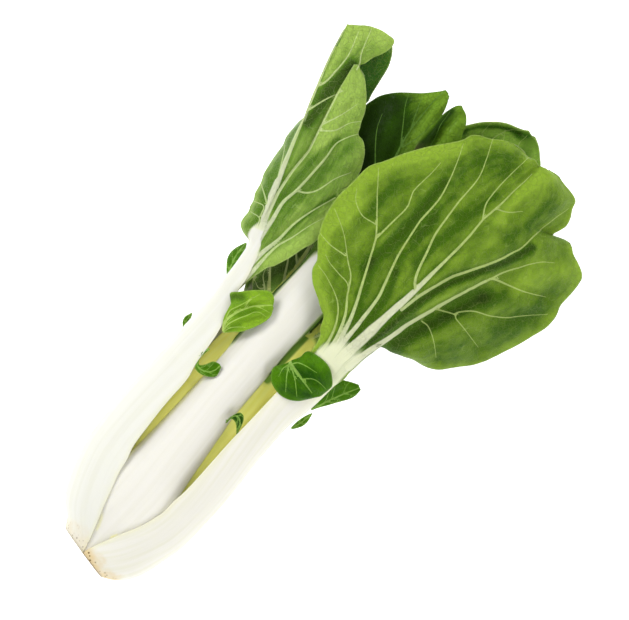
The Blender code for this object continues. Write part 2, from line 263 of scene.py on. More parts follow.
def trimmed_stem():
    """A turned cone with a slanting cut face and a skin that the leaf bases have pressed into lobes."""
    mesh = bmesh.new()
    rim = mesh.verts.layers.float.new("rim")
    pole, end = (
        mesh.verts.new((x * MM, BUNDLE_Y * MM, profile(CENTRE_HEIGHT, x) * MM))
        for x in (CUT_X, STEM_PROFILE[-1][0])
    )
    loops = stem_loops(mesh, rim)
    for first, second in zip(loops, loops[1:]):
        for i in range(STEM_TURNS):
            mesh.faces.new([first[i], first[i - 1], second[i - 1], second[i]])
    for i in range(STEM_TURNS):
        mesh.faces.new([pole, loops[0][i - 1], loops[0][i]])
        mesh.faces.new([end, loops[-1][i], loops[-1][i - 1]])
    bmesh.ops.translate(mesh, verts=mesh.verts, vec=HEAD_SHIFT)
    bmesh.ops.recalc_face_normals(mesh, faces=mesh.faces)
    data = bpy.data.meshes.new("trimmed_stem")
    mesh.to_mesh(data)
    mesh.free()
    data.shade_smooth()
    data.materials.append(cut_material())
    finish_piece(add_object("trimmed_stem", data), "cut_stem", "root_base")


trimmed_stem()

# ---------------------------------------------------------------------------------------------------
# The heart: two small folded leaves face each other round the bud that new leaves come from. They
# never saw the light, so they are yellow and soft. Each is one grown sheet with its veins proud of
# its outer side, and every leaf below is made in the same way.

HALF_HEIGHT = [
    (-4, 13.5), (5, 15.5), (12, 19.5), (20, 24), (30, 27.5), (50, 29.4), (100, 27.4), (150, 25), (180, 22),
]
LEFT_SIDE = [
    (-4, 14), (4, 16), (12, 23.5), (17, 27), (32, 33), (50, 37), (70, 38), (120, 38), (150, 38.5), (175, 42),
]
BASE_SQUEEZE = [(-4, 0.85), (15, 0.85), (25, 0.92), (40, 1), (180, 1)]
BELLY_X = 50.0  # where the bundle is widest
NECK_X = 150.0  # where the outer stalks spread into their blades
BASE_SWING = 1.5  # how suddenly a stalk swings round towards its base
NECK_TURN = 2.2  # and how suddenly it turns towards its neck
MOST_TURN = 1.2  # the turn goes on past the neck as far as this share of the way to it
EDGE_THICKNESS = 0.5
BLADE_THICKNESS = 0.9
MOST_THICKNESS = 0.75  # of the radius that a stalk is bent round
FLAT_MIDDLE = 2.4  # how far out a stalk keeps its full thickness
BLUNT_EDGE = 0.7  # and how bluntly it ends
BULGE_POWER = 1.5  # how much of a blade's swelling lies far from its midrib and its margin
RIB_TAPER = 1.5  # how soon a midrib thins towards its tip
RIB_SHARPNESS = 6  # the higher, the narrower a midrib is
MARGIN_SHARPNESS = 12  # and the later a blade thins towards its margin
STALK_STEP = 2.2  # between a stalk's rows
FULL_ARCH = 14.0  # the half of a blade that is narrower than this swells less
CARRY = 20.0  # how far a stalk's curved section runs on into its blade
FRINGE_START = 0.8  # a stalk's own edges turn to blade from this share of its half width
FRINGE_WIDTH = 0.15  # and have turned this much further out
FRINGE_RUN = 6.0
WEDGE_ROUNDING = 0.75  # how blunt the end of a stalk's white wedge is
WEDGE_FADE = 0.4  # the last share of the wedge that fades away
MARGIN_ZONE = 14.0  # how far in from its edge a blade ruffles
VEIN_STEP = 0.6
QUICK_TAPER = 2  # a thick vein loses most of its width soon after it leaves the stalk
MIDRIB_SIZE = 2.6  # how many times thicker the midrib is than the first side vein
FIRST_VEIN = 0.03  # the share of the midrib that comes before the first side vein
VEINED_LENGTH = 0.8  # the share of the midrib that the side veins are spread along
VEIN_SHARES = np.array([0, 0.2, 0.45, 0.7, 0.92])  # how far out to the margin a side vein's points are
RIDGE_SPREAD = 1.7  # a vein's ridge runs out this many of its half widths away
THINNEST_VEIN = 0.0002
TALLEST_RIDGE = 0.0013
SWELLING_RUN = 0.006  # how far from a vein a blade has swelled fully
CRINKLE_SCALE = 75
RUFFLE_SCALE = 48
WELD = 0.000002
LOWEST = 0.0001  # how far above the floor a leaf stays
HEART_START = 15  # where the small leaves leave the stem
BUD_END = 78
BUD_RADIUS = 2.2
HEART_WIDTH = [(13, 4), (30, 9), (60, 12), (95, 13), (118, 5)]
HEART_THICKNESS = [(13, 1.6), (50, 2.2), (118, 1.4)]


def read(tree, name, kind="FLOAT"):
    """What a leaf's points hold under a name."""
    return node(tree, "GeometryNodeInputNamedAttribute", {"Name": name}, data_type=kind).outputs[0]


def store(tree, geometry, name, value, kind="FLOAT"):
    """The geometry with a value put down at its points."""
    given = {"Geometry": geometry, "Name": name, "Value": value}
    made = node(tree, "GeometryNodeStoreNamedAttribute", given, data_type=kind, domain="POINT")
    return made.outputs["Geometry"]


def on_vein(tree, veins, index, name, kind="FLOAT"):
    """What one point of the veins holds under a name."""
    given = {"Geometry": veins, "Value": read(tree, name, kind), "Index": index}
    return node(tree, "GeometryNodeSampleIndex", given, data_type=kind, domain="POINT").outputs["Value"]


def nearest_vein(tree, veins, flat):
    """The nearest vein: how far sideways, its half width and its distance, in one vector and the last two."""
    given = {"Geometry": veins, "Sample Position": flat}
    index = node(tree, "GeometryNodeSampleNearest", given, domain="POINT").outputs["Index"]
    reach = on_vein(tree, veins, index, "reach")
    aside = on_vein(tree, veins, index, "aside", "FLOAT_VECTOR")
    given = {0: veins, "Sample Position": flat}
    close = node(tree, "GeometryNodeProximity", given, target_element="EDGES").outputs
    signed = vector_node("DOT_PRODUCT", vector_node("SUBTRACT", flat, close["Position"]), aside)
    return combine(signed, reach, close["Distance"]), reach, close["Distance"]


def skin_lift(tree, given, flat, reach, distance):
    """How far a skin rises off its plain shape, and the part of that which is a vein's ridge."""
    soft = minus(1.0, read(tree, "stalk"))
    ratio = math_node("DIVIDE", distance, math_node("MAXIMUM", reach, THINNEST_VEIN))
    proud = math_node("MINIMUM", reach, TALLEST_RIDGE)
    ridge = times(ramp(ratio, 0.0, RIDGE_SPREAD, 1, 0), proud)
    ridge = times(times(ridge, soft), given["Vein height"])
    swelling = times(ramp(distance, 0.0, SWELLING_RUN), given["Swelling"])
    place = vector_node("ADD", flat, combine(given["Seed"], times(given["Seed"], 1.7), 0.0))
    crinkle = times(minus(noise(place, CRINKLE_SCALE, 2.5), 0.5), given["Crinkle"])
    wave = times(minus(noise(place, RUFFLE_SCALE, 1.0), 0.5), given["Ruffle"])
    wave = times(wave, ramp(read(tree, "rim"), 0.0, MARGIN_ZONE * MM, 1, 0))
    lift = plus(swelling, plus(crinkle, wave))
    return plus(times(lift, soft), ridge), ridge


def closed_leaf(tree, outer, ridge):
    """The outer skin and, one thickness further in, the inner one, welded along their edges."""
    inner = node(tree, "GeometryNodeFlipFaces", {"Mesh": outer}).outputs["Mesh"]
    depth = plus(read(tree, "thick"), times(ridge, 0.5))
    inner = node(tree, "GeometryNodeExtrudeMesh", {"Mesh": inner, "Individual": False, "Offset Scale": depth})
    both = node(tree, "GeometryNodeJoinGeometry")
    for side, inside in ((inner.outputs["Mesh"], 1.0), (outer, 0.0)):
        tree.links.new(store(tree, side, "inside", inside), both.inputs[0])
    welded = node(tree, "GeometryNodeMergeByDistance", {"Geometry": both.outputs[0], "Distance": WELD})
    smooth = node(tree, "GeometryNodeSetShadeSmooth", {"Geometry": welded.outputs["Geometry"]})
    return smooth.outputs["Geometry"]


def relief_tree():
    """Geometry nodes that grow a leaf's solid from its outer skin.

    They raise the veins, swell the blade between them, crinkle it, ruffle its margin, and give it its
    thickness. The skin holds each point's place on the flattened leaf, where the veins are drawn.
    """
    tree = bpy.data.node_groups.new("leaf_relief", "GeometryNodeTree")
    sockets = [("Geometry", "Geometry"), ("Veins", "Object"), ("Material", "Material")]
    sockets += [(name, "Float") for name in ("Vein height", "Swelling", "Crinkle", "Ruffle", "Seed")]
    for name, kind in sockets:
        tree.interface.new_socket(name, in_out="INPUT", socket_type="NodeSocket" + kind)
    tree.interface.new_socket("Geometry", in_out="OUTPUT", socket_type="NodeSocketGeometry")
    given = tree.nodes.new("NodeGroupInput").outputs
    flat = read(tree, "flat", "FLOAT_VECTOR")
    veins = node(tree, "GeometryNodeObjectInfo", {"Object": given["Veins"]}).outputs["Geometry"]
    vein, reach, distance = nearest_vein(tree, veins, flat)
    lift, ridge = skin_lift(tree, given, flat, reach, distance)
    normal = tree.nodes.new("GeometryNodeInputNormal").outputs["Normal"]
    offset = node(tree, "ShaderNodeVectorMath", {0: normal, "Scale": lift}, operation="SCALE").outputs[0]
    raised = node(tree, "GeometryNodeSetPosition", {"Geometry": given["Geometry"], "Offset": offset})
    outer = store(tree, raised.outputs["Geometry"], "vein", vein, "FLOAT_VECTOR")
    real = node(tree, "GeometryNodeRealizeInstances", {"Geometry": closed_leaf(tree, outer, ridge)})
    done = {"Geometry": real.outputs["Geometry"], "Material": given["Material"]}
    done = node(tree, "GeometryNodeSetMaterial", done)
    node(tree, "NodeGroupOutput", {"Geometry": done.outputs["Geometry"]})
    return tree


LEAF_RELIEF = relief_tree()


def stalk_sheet(
    start,
    end,
    place,
    face,
    depth,
    width,
    thickness,
    wrap,
    columns,
    side=LEFT_SIDE,
    rise=0.0,
    plan=None,
    drop=None,
):
    """The outer skin of a stalk, a gutter that wraps the bundle, with its thickness.

    place and face are the angles from +Z towards +Y of its ridge round the bundle and of the way the ridge
    faces, at its base, at the bundle's belly and at its neck. depth is how far its ridge lies inside the
    bundle's skin, wrap is half the angle that it bends through, and rise lifts its top end. plan holds
    the profiles of its right and left edges as seen from above, and drop says how much of that depth and
    of the fall of its sides is kept.
    """
    x = np.linspace(start, end, int((end - start) / STALK_STEP))
    swing = np.clip((BELLY_X - x) / (BELLY_X - CUT_X), 0, 1) ** BASE_SWING
    turn = np.clip((x - BELLY_X) / (NECK_X - BELLY_X), 0, MOST_TURN) ** NECK_TURN
    place, face = (np.radians(b + (a - b) * swing + (c - b) * turn) for a, b, c in (place, face))
    keep = profile(drop, x) if drop else np.ones(len(x))
    inset = depth * profile(BASE_SQUEEZE, x) * keep
    ridge_y = BUNDLE_Y + (profile(side, x) - inset) * np.sin(place)
    ridge_z = profile(CENTRE_HEIGHT, x) + (profile(HALF_HEIGHT, x) - inset) * np.cos(place) + rise * turn
    radius = profile(width, x) / 2 / math.radians(wrap)
    across = np.linspace(-1, 1, columns)
    angle = face[:, None] + math.radians(wrap) * across
    y = (ridge_y - radius * np.sin(face))[:, None] + radius[:, None] * np.sin(angle)
    z = (ridge_z - radius * np.cos(face))[:, None] + radius[:, None] * np.cos(angle)
    if plan:
        right, left = (profile(table, x)[:, None] for table in plan)
        low, high = y.min(axis=1, keepdims=True), y.max(axis=1, keepdims=True)
        y = right + (y - low) * (left - right) / (high - low)
        top = z.max(axis=1, keepdims=True)
        z = top + (z - top) * keep[:, None]
    slant = CUT_SLOPE * (y - BUNDLE_Y) * np.exp(-(x - CUT_X) / CUT_FADE)[:, None]
    grid = np.stack([np.broadcast_to(x[:, None], y.shape) + slant, y, z], axis=2)
    thick = np.minimum(profile(thickness, x), radius * MOST_THICKNESS)[:, None]
    return grid, EDGE_THICKNESS + (thick - EDGE_THICKNESS) * (1 - np.abs(across) ** FLAT_MIDDLE) ** BLUNT_EDGE


def sheet_normals(grid):
    """The unit normals of a sheet's points."""
    normals = np.cross(np.gradient(grid, axis=0), np.gradient(grid, axis=1))
    return normals / np.maximum(np.linalg.norm(normals, axis=2, keepdims=True), 1e-9)


def blade_sheet(neck, midrib, first, last, rows, arch, rib, carry=CARRY):
    """A blade stretched over its midrib and its two margins, which carries on from the last row of its stalk.

    The first margin carries on from that row's first point and the last margin from its last one. arch is
    how far the halves swell above straight lines, and rib is the midrib's thickness at the neck. It returns
    the sheet, its thickness, and its three lines for the veins to follow.
    """
    columns = len(neck)
    starts = neck[0], neck[columns // 2], neck[-1]
    lines = [smooth_line([start, *line], rows) for start, line in zip(starts, (first, midrib, last))]
    across = np.linspace(-1, 1, columns)
    share = np.abs(across)[None, :, None]
    margin = np.where(across[None, :, None] > 0, lines[2][:, None], lines[0][:, None])
    grid = lines[1][:, None] * (1 - share) + margin * share
    wide = np.linalg.norm(margin - lines[1][:, None], axis=2, keepdims=True)
    bulge = (4 * share * (1 - share)) ** BULGE_POWER
    grid = grid + sheet_normals(grid) * arch * np.minimum(1, wide / FULL_ARCH) * bulge
    fade = np.exp(-((run_along(lines[1]) / carry) ** 2))[:, None, None]
    grid = grid + (neck - grid[0]) * fade
    rest = np.linspace(1, 0, rows)[:, None] ** RIB_TAPER
    thick = BLADE_THICKNESS + (rib - BLADE_THICKNESS) * rest * np.exp(-((across * RIB_SHARPNESS) ** 2))
    thick = EDGE_THICKNESS + (thick - EDGE_THICKNESS) * (1 - np.abs(across) ** MARGIN_SHARPNESS)
    return grid, thick, lines


def join_sheets(stalk, blade, fan=12.0, wing=148.0, soft=3.0, green=0.0):
    """A stalk and its blade as one sheet, and how much each point is stalk.

    The stalk's white runs on into the blade as a rounded wedge, fan long, whose edge fades over soft.
    wing is where the stalk's own edges turn to blade, and green is how green its neck is.
    """
    (stalk_grid, stalk_thick), (blade_grid, blade_thick, lines) = stalk, blade
    run = np.linalg.norm(lines[1] - lines[1][0], axis=1)[1:, None]
    fade = np.exp(-((run / CARRY) ** 2))
    thick = blade_thick[1:] * (1 - fade) + stalk_thick[-1] * fade
    grid = np.concatenate([stalk_grid, blade_grid[1:]])
    share = np.abs(np.linspace(-1, 1, thick.shape[1]))
    fringe = np.clip((share - FRINGE_START) / FRINGE_WIDTH, 0, 1)
    fringe = np.clip((grid[:, :1, 0] - wing) / FRINGE_RUN, 0, 1) * fringe
    aside = np.linalg.norm(blade_grid[1:] - lines[1][1:, None], axis=2)
    half = np.linalg.norm(stalk_grid[-1, (0, -1)] - lines[1][0], axis=1).max()
    rest = 1 - run / fan
    white = half * np.clip(rest, 0, 1) ** WEDGE_ROUNDING
    wedge = np.clip((white - aside) / soft + 1, 0, 1) * np.clip(rest / WEDGE_FADE, 0, 1)
    whole = np.concatenate([np.ones(stalk_thick.shape), wedge])
    whole *= 1 - green * np.clip((grid[:, :1, 0] - stalk_grid[-1, 0, 0] + fan) / fan, 0, 1)
    return grid, np.concatenate([stalk_thick, thick]), whole * (1 - fringe)


def near_line(points, line):
    """For points and a line in plan: the distance, above 0 on the line's left, and the share along it."""
    best = np.full(len(points), np.inf)
    signed = np.zeros(len(points))
    along = np.zeros(len(points))
    count = len(line) - 1
    for i, (a, b) in enumerate(zip(line, line[1:])):
        way = b - a
        t = np.clip((points - a) @ way / (way @ way), 0, 1)
        gap = points - a - t[:, None] * way
        distance = np.linalg.norm(gap, axis=1)
        closer = distance < best
        best = np.where(closer, distance, best)
        side = np.sign(way[0] * gap[:, 1] - way[1] * gap[:, 0])
        signed = np.where(closer, side * distance, signed)
        along = np.where(closer, (i + t) / count, along)
    return signed, along


def shading(points, strokes):
    """How much painted shade falls at points in plan, with a little of the tissue's own tone; below 0 it is
    painted light and sheen. A stroke of shade is its line, half width and strength.
    """
    total = np.zeros(len(points))
    for line, width, strength in strokes:
        distance, _ = near_line(points, smooth_line(line, 40))
        total += strength * np.exp(-((distance / width) ** 2))
    return total


def pleat(grid, line, depth, width):
    """Folds a sheet along a line in plan: a ridge on the line's left, and a crease on its right."""
    line = smooth_line(line, 60)
    signed, along = near_line(grid[..., :2].reshape(-1, 2), line)
    t = signed / width
    lift = depth * t * np.exp(0.5 - t * t / 2) * np.sin(np.pi * np.clip(along, 0, 1)) ** 0.9
    folded = grid.copy()
    folded[..., 2] += lift.reshape(grid.shape[:2])
    return folded


def vein_lines(name, veins):
    """The veins as wires on the flattened leaf. A vein is its points and its first and last half width."""
    places, reaches, asides, edges = [], [], [], []
    for points, first, last in veins:
        length = np.linalg.norm(np.diff(np.array(points, float), axis=0), axis=1).sum()
        line = smooth_line(points, max(3, int(length / VEIN_STEP)))
        way = np.gradient(line, axis=0)
        way /= np.maximum(np.linalg.norm(way, axis=1, keepdims=True), 1e-9)
        start = len(places)
        share = 1 - (1 - np.linspace(0, 1, len(line))) ** (QUICK_TAPER if first > 1 else 1)
        places += [(x * MM + HEAD_SHIFT[0], y * MM + HEAD_SHIFT[1], 0) for x, y in line]
        reaches += list((first + (last - first) * share) * MM)
        asides += [(-y, x, 0) for x, y in way]
        edges += [(i, i + 1) for i in range(start, start + len(line) - 1)]
    data = bpy.data.meshes.new(name + "_veins")
    data.from_pydata(places, edges, [])
    data.attributes.new("reach", "FLOAT", "POINT").data.foreach_set("value", np.array(reaches))
    data.attributes.new("aside", "FLOAT_VECTOR", "POINT").data.foreach_set("vector", np.array(asides).ravel())
    return add_object(name + "_veins", data)


def side_veins(lines, count, seed, reach=0.8):
    """Veins that leave the midrib in turn, bend towards the tip, and fork once before the margin."""
    random = np.random.default_rng(seed)
    first_margin, midrib, last_margin = (line[:, :2] for line in lines)
    last = len(midrib) - 1
    veins = [(midrib[:: max(1, last // 12)], reach * MIDRIB_SIZE, 0.3)]

    def spot(share, margin, along):
        i = np.clip(along, 0, 1) * last
        low = int(i)
        high = min(low + 1, last)
        middle = midrib[low] + (midrib[high] - midrib[low]) * (i - low)
        edge = margin[low] + (margin[high] - margin[low]) * (i - low)
        return middle + (edge - middle) * share

    for k in range(count):
        for margin in (first_margin, last_margin):
            start = FIRST_VEIN + VEINED_LENGTH * (k + random.uniform(-0.2, 0.3)) / count
            lean = random.uniform(0.2, 0.3)
            path = [
                spot(share, margin, start + lean * share**0.85 + random.uniform(-0.008, 0.008))
                for share in VEIN_SHARES
            ]
            size = reach * (1 - 0.5 * k / count)
            veins.append((path, size, 0.12))
            fork = [path[2], spot(0.7, margin, start + lean * 0.45), spot(0.9, margin, start + lean * 0.55)]
            veins.append((fork, size * 0.5, 0.08))
    return veins


def sheet_measures(grid):
    """How far along, across and in from its rim each point of a sheet lies."""
    middle = grid.shape[1] // 2
    steps = np.linalg.norm(np.diff(grid, axis=1), axis=2)
    across = np.concatenate([np.zeros((len(grid), 1)), np.cumsum(steps, axis=1)], axis=1)
    across -= across[:, middle : middle + 1]
    along = np.broadcast_to(run_along(grid[:, middle])[:, None], across.shape)
    rim = np.minimum(across - across[:, :1], across[:, -1:] - across)
    return along, across, np.minimum(rim, along[-1:] - along)


def sheet_values(sheet, strokes, first):
    """What one sheet gives to its leaf's skin, where first is the number of its first point."""
    grid, thick, stalk = sheet
    rows, columns = grid.shape[:2]
    along, across, rim = sheet_measures(grid)
    index = np.arange(rows * columns).reshape(rows, columns) + first
    quads = np.stack([index[:-1, :-1], index[1:, :-1], index[1:, 1:], index[:-1, 1:]], axis=-1)
    return {
        "point": grid.reshape(-1, 3),
        "face": quads.reshape(-1, 4),
        "uv": np.stack([along, across], axis=-1).reshape(-1, 2) * MM,
        "thick": thick.ravel() * MM,
        "rim": rim.ravel() * MM,
        "stalk": stalk.ravel(),
        "fan": np.broadcast_to(np.linspace(-1, 1, columns), rim.shape).ravel(),
        "painted_shade_and_tone": shading(grid[..., :2].reshape(-1, 2), strokes),
    }


def leaf_skin(name, sheets, shades):
    """A leaf's sheets as one mesh, which holds what the relief and the material read."""
    parts = []
    first = 0
    for sheet, strokes in zip(sheets, shades or [()] * len(sheets)):
        parts.append(sheet_values(sheet, strokes, first))
        first += sheet[1].size
    values = {key: np.concatenate([part[key] for part in parts]) for key in parts[0]}
    points = values["point"] * MM + HEAD_SHIFT
    skin = bpy.data.meshes.new(name + "_skin")
    skin.from_pydata(points.tolist(), [], values["face"].tolist())
    flat = (points * (1, 1, 0)).ravel()
    skin.attributes.new("flat", "FLOAT_VECTOR", "POINT").data.foreach_set("vector", flat)
    for key in ("thick", "rim", "stalk", "fan", "painted_shade_and_tone"):
        skin.attributes.new(key, "FLOAT", "POINT").data.foreach_set("value", values[key])
    skin.uv_layers.new(name="sheet").data.foreach_set("uv", values["uv"][values["face"].ravel()].ravel())
    return skin


def grown(name, skin, settings):
    """The mesh that the relief grows from a skin, kept above the floor."""
    source = add_object(name + "_source", skin)
    modifier = source.modifiers.new("relief", "NODES")
    modifier.node_group = LEAF_RELIEF
    for item in LEAF_RELIEF.interface.items_tree:
        if item.in_out == "INPUT" and item.name in settings:
            modifier[item.identifier] = settings[item.name]
    graph = bpy.context.evaluated_depsgraph_get()
    real = source.evaluated_get(graph)
    data = bpy.data.meshes.new_from_object(real, preserve_all_data_layers=True, depsgraph=graph)
    bpy.data.objects.remove(source)
    places = np.empty(len(data.vertices) * 3)
    data.vertices.foreach_get("co", places)
    places[2::3] = np.maximum(places[2::3], LOWEST)
    data.vertices.foreach_set("co", places)
    data.name = name
    return data


def leaf(
    name,
    sheets,
    veins,
    material,
    slot,
    nodes,
    height=0.5,
    swelling=0.6,
    crinkle=1.2,
    ruffle=3.0,
    shades=(),
    seed=1,
):
    """One leaf from its sheets, its veins, and the strokes of painted shade and light on each sheet.

    height is how far its veins stand out, as a share of their half width. swelling, crinkle and ruffle
    are in millimetres.
    """
    wires = vein_lines(name, veins)
    settings = {
        "Veins": wires,
        "Vein height": height,
        "Swelling": swelling * MM,
        "Crinkle": crinkle * MM,
        "Ruffle": ruffle * MM,
        "Seed": float(seed),
        "Material": material,
    }
    data = grown(name, leaf_skin(name, sheets, shades), settings)
    bpy.data.objects.remove(wires)
    finish_piece(add_object(name, data), slot, *nodes)


def shader_group(name, setting, value, *outputs):
    """A new node group: its tree, the one number that it takes, and the sockets that it puts out."""
    tree = bpy.data.node_groups.new(name, "ShaderNodeTree")
    tree.interface.new_socket(setting, in_out="INPUT", socket_type="NodeSocketFloat").default_value = value
    for key in outputs:
        tree.interface.new_socket(key, in_out="OUTPUT", socket_type="NodeSocketFloat")
    return tree, tree.nodes.new("NodeGroupInput").outputs[0], tree.nodes.new("NodeGroupOutput").inputs


def sheet_place(tree):
    """How far along and across its sheet a place lies."""
    return node(tree, "ShaderNodeUVMap", uv_map="sheet").outputs["UV"]


def part_of(vector, key):
    """The X, Y or Z of a vector."""
    return node(tree_of(vector), "ShaderNodeSeparateXYZ", {0: vector}).outputs[key]


def vein_mask_group():
    """Where the veins are, how white they are, and the painted shade in strips beside the thick ones."""
    tree, width, put = shader_group("vein_mask", "Width", 1.0, "Vein", "White", "VeinShade")
    vein = node(tree, "ShaderNodeAttribute", attribute_name="vein").outputs["Vector"]
    parts = node(tree, "ShaderNodeSeparateXYZ", {0: vein}).outputs
    sideways, thickness, distance = parts["X"], parts["Y"], parts["Z"]
    reach = math_node("MAXIMUM", times(thickness, width), 0.00003)
    ratio = math_node("DIVIDE", math_node("ABSOLUTE", sideways), reach)
    # a thin vein may show a little past where it ends, and a thick one stops a little short
    slack = ramp(thickness, 0.0004, 0.0010, 0.0003, -0.0001)
    close = ramp(minus(distance, plus(reach, slack)), 0.0, 0.0005, 1, 0)
    mask = times(ramp(ratio, 0.75, 1.2, 1, 0), close)
    # the thinnest veins are a little faint
    mask = times(mask, ramp(thickness, 0.0001, 0.0007, 0.8, 1.0))
    # painted shade in strips beside the thick veins, where a raised vein's shadow falls
    beside = ramp(minus(distance, reach), 0.0002, 0.0024, 1, 0)
    tree.links.new(mask, put["Vein"])
    tree.links.new(ramp(thickness, 0.0005, 0.0014), put["White"])
    tree.links.new(times(beside, ramp(thickness, 0.0003, 0.0009)), put["VeinShade"])
    return tree


NET_STEP = 2.6  # how much finer the inner cells of the net are
DRIFT = (0.0022, 0.0022, 0.0022)  # how far the net is bent about
CLOUD_WEIGHTS = 0.7, 0.9, 1.0  # of wide clouds, small ones and those that spread from the neck


def network_group():
    """The fine net of veinlets that fills a blade, and the clouds and fingers of its colour.

    The clouds and the fingers spread out along a blade from its neck, as its veins do.
    """
    tree, size, put = shader_group("veinlet_net", "Scale", 330.0, "Net", "Cloud", "Fingers")
    place = object_place(tree)
    given = {"Vector": place, "Scale": 180.0, "Detail": 2.0}
    drift = node(tree, "ShaderNodeTexNoise", given).outputs["Color"]
    moved = vector_node("MULTIPLY_ADD", drift, DRIFT, place)
    lines = []
    for factor, width in ((1.0, 0.055), (NET_STEP, 0.09)):
        given = {"Vector": moved, "Scale": times(size, factor)}
        cells = node(tree, "ShaderNodeTexVoronoi", given, feature="DISTANCE_TO_EDGE").outputs["Distance"]
        lines.append(ramp(cells, 0.0, width, 1, 0))
    along = part_of(sheet_place(tree), "X")
    spread = combine(times(point_value(tree, "fan"), 9.0), times(along, 22.0), 0.0)
    clouds = noise(place, 30, 2), noise(place, 190, 3), noise(spread, 1.3, 3)
    wide, small, spreading = (times(cloud, weight) for cloud, weight in zip(clouds, CLOUD_WEIGHTS))
    tree.links.new(plus(lines[0], times(lines[1], 0.45), clamp=True), put["Net"])
    tree.links.new(noise(spread, 4.0, 1), put["Fingers"])
    cloud = math_node("DIVIDE", plus(plus(wide, small), spreading), sum(CLOUD_WEIGHTS))
    tree.links.new(cloud, put["Cloud"])
    return tree


def grain_group():
    """The long fibres of a stalk: fine ribs along it, and pale streaks."""
    tree, size, put = shader_group("stalk_grain", "Ribs", 900.0, "Ribs", "Streak")
    stretched = vector_node("MULTIPLY", sheet_place(tree), (0.035, 1.0, 1.0))
    tree.links.new(noise(stretched, size, 2), put["Ribs"])
    tree.links.new(noise(stretched, 260, 2), put["Streak"])
    return tree


def stain_group():
    """The tan stain at the foot of a stalk, its brown specks, and the dry line where the knife went."""
    tree, length, put = shader_group("foot_stain", "Length", 0.018, "Stain", "Specks", "Scar")
    along = part_of(sheet_place(tree), "X")
    place = object_place(tree)
    share = math_node("DIVIDE", along, length)
    share = plus(share, times(noise(place, 120, 3), 1.2))
    cells = node(tree, "ShaderNodeTexVoronoi", {"Vector": place, "Scale": 450.0}).outputs["Distance"]
    specks = times(ramp(cells, 0.20, 0.28, 1, 0), ramp(share, 0.8, 1.0, 1, 0))
    tree.links.new(ramp(share, 0.65, 1.35, 1, 0), put["Stain"])
    tree.links.new(specks, put["Specks"])
    tree.links.new(ramp(along, 0.0004, 0.0018, 0.9, 0), put["Scar"])
    return tree


VEIN_MASK = vein_mask_group()
VEINLET_NET = network_group()
STALK_GRAIN = grain_group()
FOOT_STAIN = stain_group()
RIM_TINT = (0.97, 0.95, 0.62)  # the edges of a stalk are yellower than its middle
VEIN_TINT = (0.92, 0.97, 0.74)  # and so are the thick veins that it splits into
DEEP_SHADE = 0.25  # how much of its dark green is left in a blade's deepest painted shade, in folds and under the leaves above
# the yellow in the notches at the top stalk's foot, and a painted reflection of the yellow young stalks on
# its edges beside the slots
NOTCH_AND_REFLECTED_YELLOW = (0.92, 0.89, 0.34)
STAIN_TAN = (0.70, 0.55, 0.29)
SCAR_BROWN = (0.30, 0.23, 0.16)
SPECK_BROWN = (0.16, 0.10, 0.03)
SPECK_STRENGTH = 1.3  # specks outlast the stain where that is weak


def tinted(colour, tint):
    """A colour times another one."""
    return tuple(a * b for a, b in zip(colour, tint))


def group_masks(tree, group):
    """What a node group puts out."""
    return node(tree, "ShaderNodeGroup", node_tree=group).outputs


def blade_colour(tree, veins, veinlets, greens, inner_greens, vein_colour, net):
    """The green of a blade between its veins: mottled, with painted shade in strips beside a thick vein and
    where the strokes of painted shade fall, and paler where they paint light.
    """
    rim = point_value(tree, "rim")
    painted_shade_and_tone = point_value(tree, "painted_shade_and_tone")
    cloud = ramp(veinlets["Cloud"], 0.36, 0.64, 0.18, 0.64)
    cloud = plus(cloud, ramp(rim, 0.0, 0.012, 0.3, 0))
    # painted shade in strips beside the thick veins
    cloud = minus(cloud, times(veins["VeinShade"], 0.35))
    # painted shade from the strokes darkens the green, and below 0 they paint light and sheen
    cloud = minus(cloud, painted_shade_and_tone, clamp=True)
    outer, inner = (blend(cloud, *pair) for pair in (greens, inner_greens))
    tissue = blend(point_value(tree, "inside"), outer, inner)
    # the deepest painted shade, in creases and under the leaves above, turns to a near-black green
    tissue = blend(ramp(painted_shade_and_tone, 0.3, 1.3, 0, 0.75), tissue, tinted(greens[0], (DEEP_SHADE,) * 3))
    tissue = blend(times(veinlets["Net"], net), tissue, vein_colour)
    return blend(ramp(rim, 0.0002, 0.0010, 0.3, 0), tissue, vein_colour)


def stalk_colouring(tree, streak, dark, colour, shadow, vein_colour):
    """The white of a stalk: streaked along its fibres, and yellower at its edges and at its neck. Strokes
    paint shade on it in dark green, and yellow in the notches at its foot and as a painted reflection of the
    yellow slots on the top stalk's edges.
    """
    rim = point_value(tree, "rim")
    painted_shade_and_tone = point_value(tree, "painted_shade_and_tone")
    pale = blend(ramp(streak, 0.4, 0.65, 0, 0.6), colour, shadow)
    # painted shade: strong strokes turn the white to the blade's dark green, as in the shadowed slot and
    # along the top stalk's shaded edge
    pale = blend(ramp(painted_shade_and_tone, 0.5, 1.3), pale, dark)
    # painted yellow where the strokes fall below 0: the notches at the foot, and a painted reflection of the
    # yellow slots
    pale = blend(ramp(painted_shade_and_tone, -1.2, -0.2, 1, 0), pale, NOTCH_AND_REFLECTED_YELLOW)
    pale = blend(ramp(rim, 0.0, 0.003, 0.3, 0), pale, tinted(shadow, RIM_TINT))
    return blend(ramp(point_value(tree, "stalk"), 0.8, 0.98, 1, 0), pale, vein_colour)


def leaf_bumps(tree, net, ribs, whole):
    """The normal of a leaf: veinlets and wrinkles where it is blade, and fibres where it is stalk."""
    bumps = times(noise(object_place(tree), 240, 3), 0.8)
    bumps = minus(bumps, times(net, 0.45))
    bumps = times(bumps, minus(1.0, whole))
    return bump(times(ribs, whole), 0.0002, 0.5, bump(bumps, 0.0011, 0.8))


